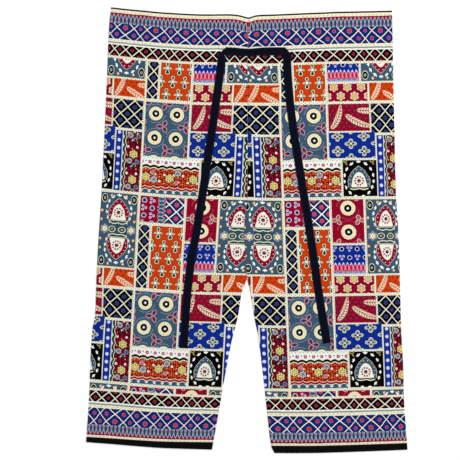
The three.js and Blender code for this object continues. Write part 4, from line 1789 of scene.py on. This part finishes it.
def panel_rows():
    """Rows down the panel, after the turned-in waist. Each is (distance along, depth inside the cloth)."""
    turned = [(TURN_IN, TURN_DEPTH), (TURN_IN / 2, TURN_DEPTH), (EDGE_ROUND, TURN_DEPTH)]
    edge = []
    for i in range(1, EDGE_STEPS):
        turn = math.pi * i / EDGE_STEPS
        place = EDGE_ROUND * (1 - math.sin(turn))
        edge.append((place, TURN_DEPTH / 2 * (1 + math.cos(turn))))
    return turned + edge + [(along, 0.0) for along in lines_along(ROW_STEP)]


for leg in (LEFT, RIGHT):
    reach = max(width_at(leg, y) for y in range(-480, 480, 20))
    columns = lines_across(leg, reach, FINE_STEP, COARSE_STEP)
    grid = ClothGrid(leg, panel_level(leg), panel_foot)
    piece = cloth_mesh(leg["name"] + "_cloth", grid, panel_rows(), columns, patch_at, PANEL_LENGTH)
    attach(piece, "root")
    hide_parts(leg["name"])
    print(piece.name, len(piece.data.polygons), "faces")

# %% [markdown]
# The black bands are closed rings round the feet of the legs, sewn on under the hem border, with a rolled
# lower edge. A torus pressed flat would be quick, but the same rows as for the panels fit the outline.

# %% Hem bands
BAND_DEPTH = 15.0
BAND_ROLL = 0.06
BAND_ROWS = 6
BAND_HEAD = 0.16
BAND_LINING = (0.5, 0.1)


def band_level(leg):
    def level(across, along):
        top = foot_level(leg, across) - SEAM_GAP
        return mix(top, hem_level(leg, across), along)

    return level


def band_rows():
    """Rows down the band, round its rolled edge and a little way up inside."""
    flat = 1 - BAND_ROLL
    rows = [(row / BAND_ROWS, 0.0) for row in range(BAND_ROWS)] + [(flat, 0.0)]
    for i in range(1, EDGE_STEPS):
        turn = math.pi * i / EDGE_STEPS
        rows.append((flat + BAND_ROLL * math.sin(turn), TURN_DEPTH / 2 * (1 - math.cos(turn))))
    return rows + [(along, TURN_DEPTH) for along in (flat, *BAND_LINING)]


def band_foot(along):
    return FOOT_DROP * (1 - smooth(along, 0.0, BAND_HEAD))


def band_patch(leg, across, along):
    return "hem_band", 0.0, 0.0, False


for leg in (LEFT, RIGHT):
    reach = max(width_at(leg, y) for y in range(-488, -460, 4))
    columns = split_lines([-ARC_LENGTH - reach, -ARC_LENGTH], COARSE_STEP)
    columns += [-ARC_LENGTH * share for share in ARC_SHARES] + split_lines([0.0, reach], FINE_STEP)
    grid = ClothGrid(leg, band_level(leg), band_foot)
    node = leg["name"].replace("leg", "hem_band")
    piece = cloth_mesh(node + "_cloth", grid, band_rows(), columns, band_patch, 1.0, BAND_DEPTH)
    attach(piece, "root")
    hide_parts(node)
    print(piece.name, len(piece.data.polygons), "faces")

# %% [markdown]
# The tie is one long flat belt. Its middle is sewn across the back, and at each end of that stretch it is
# folded over a diagonal crease, so that the tails lie on top and run down the legs. A curve with a bevel
# can't fold over itself that sharply. So its path is given by rows of points across the belt, each at the
# height of what carries it.

# %% Route of the tie
TIE_THICKNESS = 0.9
TIE_CLEARANCE = 0.35
TIE_TOP = 402.0
TIE_DIP = 3.0
TIE_DIP_WIDTH = 26.0
FOLD_TURN = 0.7
TIE_PAST_EDGE = 2.0
TIE_STEP_DOWN = 14.0
TAIL_STEP = 9.0
FIRST_STATION = 0.45
FOLD_STEPS = 6
ROUTE_STEPS = 400
ROUTE_WINDOW = 4
SEWN_STEPS = 22
TIE_DIP_AT = 2.0
TIE_DIP_LOSS = 0.5
BRIDGE_ACROSS = (-6.0, 0.0, 6.0)
BRIDGE_DOWN = (-5.0, 0.0, 5.0)
ACROSS_TIE = [0.0, 0.03, 0.09, 0.2, 0.35, 0.5, 0.65, 0.8, 0.91, 0.97, 1.0]
CORNERS = {"left": ((-43.5, TIE_TOP), (-63.5, 384.0)), "right": ((82.5, TIE_TOP), (98.5, 384.0))}
TAILS = {
    "left": [
        (-53.6, 393), (-56.6, 362), (-69.9, 265), (-89, 133), (-109.7, 1), (-122, -66),
        (-130.1, -132), (-138.9, -259),
    ],
    "right": [(90, 393), (88.8, 362), (96.7, 265), (116.3, 133), (137.8, 1), (157.2, -132), (176, -248)],
}


def cloth_top(x, y):
    """Highest point of the panels close to a place, as the stiff belt bridges small hollows."""
    top = 0.0
    for dx in BRIDGE_ACROSS:
        for dy in BRIDGE_DOWN:
            leg = LEFT if x + dx < seam_x(y + dy) else RIGHT
            top = max(top, upper_z(leg, x + dx, y + dy))
    return top


def sewn_height(x, y):
    return cloth_top(x, y) + TIE_CLEARANCE + TIE_THICKNESS / 2


def tail_route(points):
    """Smooth plan of a tail as evenly spaced (x, y, direction) places."""
    route_x = curve([(-y, x) for x, y in points])
    start, end = -points[0][1], -points[-1][1]
    falls = [mix(start, end, i / ROUTE_STEPS) for i in range(ROUTE_STEPS + 1)]
    dense = [(route_x(fall), -fall) for fall in falls]
    lengths = [0.0]
    for (x0, y0), (x1, y1) in zip(dense, dense[1:]):
        lengths.append(lengths[-1] + math.hypot(x1 - x0, y1 - y0))

    def at(distance):
        i = min(ROUTE_STEPS - 1, sum(1 for length in lengths[1:] if length <= distance))
        share = clamp((distance - lengths[i]) / (lengths[i + 1] - lengths[i]), 0.0, 1.0)
        (x0, y0), (x1, y1) = dense[i], dense[i + 1]
        near, far = dense[max(0, i - ROUTE_WINDOW)], dense[min(ROUTE_STEPS, i + ROUTE_WINDOW + 1)]
        way = Vector((far[0] - near[0], far[1] - near[1], 0)).normalized()
        return Vector((mix(x0, x1, share), mix(y0, y1, share), 0)), way

    return at, lengths[-1]


def tail_rows(side):
    """Rows from the crease to the cut end, each going from the belt's upper edge to its lower edge."""
    outwards = -1 if side == "left" else 1
    (top_x, top_y), (low_x, low_y) = CORNERS[side]
    crease = Vector((low_x - top_x, low_y - top_y, 0)).normalized()
    out = Vector((-crease.y, crease.x, 0)) * (1 if (-crease.y) * outwards > 0 else -1)
    along_crease = [(mix(top_x, low_x, share), mix(top_y, low_y, share)) for share in ACROSS_TIE]
    rows = []
    for i in range(1, FOLD_STEPS):
        turn = math.pi * i / FOLD_STEPS
        lift = Vector((0, 0, FOLD_TURN * (1 - math.cos(turn)))) + out * FOLD_TURN * math.sin(turn)
        rows.append([Vector((x, y, sewn_height(x, y))) + lift for x, y in along_crease])
    raised = [Vector((x, y, sewn_height(x, y) + 2 * FOLD_TURN)) for x, y in along_crease]
    rows.append(raised)
    at, length = tail_route(TAILS[side])
    over_edge = TAILS[side][0][1] - low_y + TIE_PAST_EDGE
    stations = [over_edge * FIRST_STATION, over_edge]
    count = round((length - over_edge) / TAIL_STEP)
    stations += [mix(over_edge, length, (i + 1) / count) for i in range(count)]
    for distance in stations:
        centre, way = at(distance)
        across = Vector((-way.y, way.x, 0)) * -outwards * TIE_WIDTH
        row = []
        for k, share in enumerate(ACROSS_TIE):
            flat = centre + across * (0.5 - share) * -1
            raise_by = 2 * FOLD_TURN * (1 - smooth(distance, over_edge, over_edge + TIE_STEP_DOWN))
            if distance < over_edge:
                flat = raised[k].lerp(flat, distance / over_edge)
            row.append(Vector((flat.x, flat.y, sewn_height(flat.x, flat.y) + raise_by)))
        rows.append(row)
    return rows


def sewn_rows():
    """Rows of the sewn stretch, from the left crease to the right one, with a dip at the centre seam."""
    (left_top, _), (left_low, _) = CORNERS["left"]
    (right_top, _), (right_low, _) = CORNERS["right"]
    rows = []
    for i in range(SEWN_STEPS + 1):
        row = []
        for share in ACROSS_TIE:
            x = mix(mix(left_top, left_low, share), mix(right_top, right_low, share), i / SEWN_STEPS)
            dip = TIE_DIP * math.exp(-(((x - TIE_DIP_AT) / TIE_DIP_WIDTH) ** 2))
            y = TIE_TOP - TIE_WIDTH * share - dip * (1 - TIE_DIP_LOSS * share)
            row.append(Vector((x, y, sewn_height(x, y))))
        rows.append(row)
    return rows


belt_rows = tail_rows("left")[::-1] + sewn_rows() + tail_rows("right")
print("rows along the belt", len(belt_rows))

# %% [markdown]
# The belt is a closed mesh about that surface of rows. A Solidify modifier would give it thickness, but the
# folded edges of a real tape are thinner than its middle. In the baked image the belt lies in four strips,
# because it is eighty times as long as it is wide.

# %% Tie belt
BELT_STRIPS = 4
EDGE_THINNESS = 0.06
EDGE_SHARPNESS = 10
STRIP_MARGIN = 0.1
STRIP_ENDS = (0.02, 0.98)


def belt_mesh(rows):
    """Closed belt about a surface of rows, thick in the middle and thin at the folded edges."""
    mesh = bmesh.new()
    print_map = mesh.loops.layers.uv.new("Print")
    bake_map = mesh.loops.layers.uv.new("OFBake")
    last = len(ACROSS_TIE) - 1
    along = [0.0]
    for before, row in zip(rows, rows[1:]):
        along.append(along[-1] + (row[last // 2] - before[last // 2]).length)
    sides = {1: [], -1: []}
    for i, row in enumerate(rows):
        ahead = rows[min(i + 1, len(rows) - 1)]
        behind = rows[max(i - 1, 0)]
        lines = {1: [], -1: []}
        for k, share in enumerate(ACROSS_TIE):
            way = ahead[k] - behind[k]
            across = row[min(k + 1, last)] - row[max(k - 1, 0)]
            normal = way.cross(across).normalized()
            full = math.sqrt(max(EDGE_THINNESS, 1 - abs(2 * share - 1) ** EDGE_SHARPNESS))
            half = TIE_THICKNESS / 2 * full
            for face in (1, -1):
                lines[face].append(mesh.verts.new((row[k] + normal * half * face) * MM))
        for face in (1, -1):
            sides[face].append(lines[face])
    fold_length = along[-1] / BELT_STRIPS

    def corner(face, i, k):
        return sides[face][i][k], ACROSS_TIE[k], along[i]

    def add(corners, face, kept_way=True):
        corners = corners if kept_way else corners[::-1]
        made = mesh.faces.new([corner[0] for corner in corners])
        made.smooth = True
        strip = min(BELT_STRIPS - 1, int(sum(corner[2] for corner in corners) / len(corners) / fold_length))
        slot = strip * 2 + (1 if face < 0 else 0)
        for loop, (_, share, length) in zip(made.loops, corners):
            loop[print_map].uv = (share * TIE_WIDTH, length)
            over = (length - strip * fold_length) / fold_length
            down = (slot + mix(STRIP_MARGIN, 1 - STRIP_MARGIN, share)) / (2 * BELT_STRIPS)
            loop[bake_map].uv = (mix(*STRIP_ENDS, clamp(over, -BAKE_MARGIN, 1 + BAKE_MARGIN)), down)

    ends = (0, len(rows) - 1)
    for face in (1, -1):
        for i in range(ends[1]):
            for k in range(last):
                around = [corner(face, i, k), corner(face, i + 1, k)]
                around += [corner(face, i + 1, k + 1), corner(face, i, k + 1)]
                add(around, face, face > 0)
    for k in (0, last):
        for i in range(ends[1]):
            around = [corner(1, i, k), corner(-1, i, k), corner(-1, i + 1, k), corner(1, i + 1, k)]
            add(around, 1, k == 0)
    for i in ends:
        for k in range(last):
            around = [corner(1, i, k), corner(1, i, k + 1), corner(-1, i, k + 1), corner(-1, i, k)]
            add(around, 1, i == 0)
    bmesh.ops.recalc_face_normals(mesh, faces=mesh.faces)
    data = bpy.data.meshes.new("tie_belt")
    mesh.to_mesh(data)
    mesh.free()
    return data, along[-1]


belt_data, belt_length = belt_mesh(belt_rows)
belt_data.materials.append(cloth_paint("tie_navy"))
belt = bpy.data.objects.new("tie_belt", belt_data)
scene.collection.objects.link(belt)
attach(belt, "root")
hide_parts("tie_centre", "tie_left_tail", "tie_right_tail")
print("belt", round(belt_length), "mm long,", len(belt_data.polygons), "faces")

# %% [markdown]
# A sheet has a flat size, the one that a cutter needs. It could be measured from the mesh, but the turned
# edges lie inside the folds. Here only the tie's cut length is given, along the middle of the belt.

print("the tie is cut", round(belt_length * MM, 3), "m long")
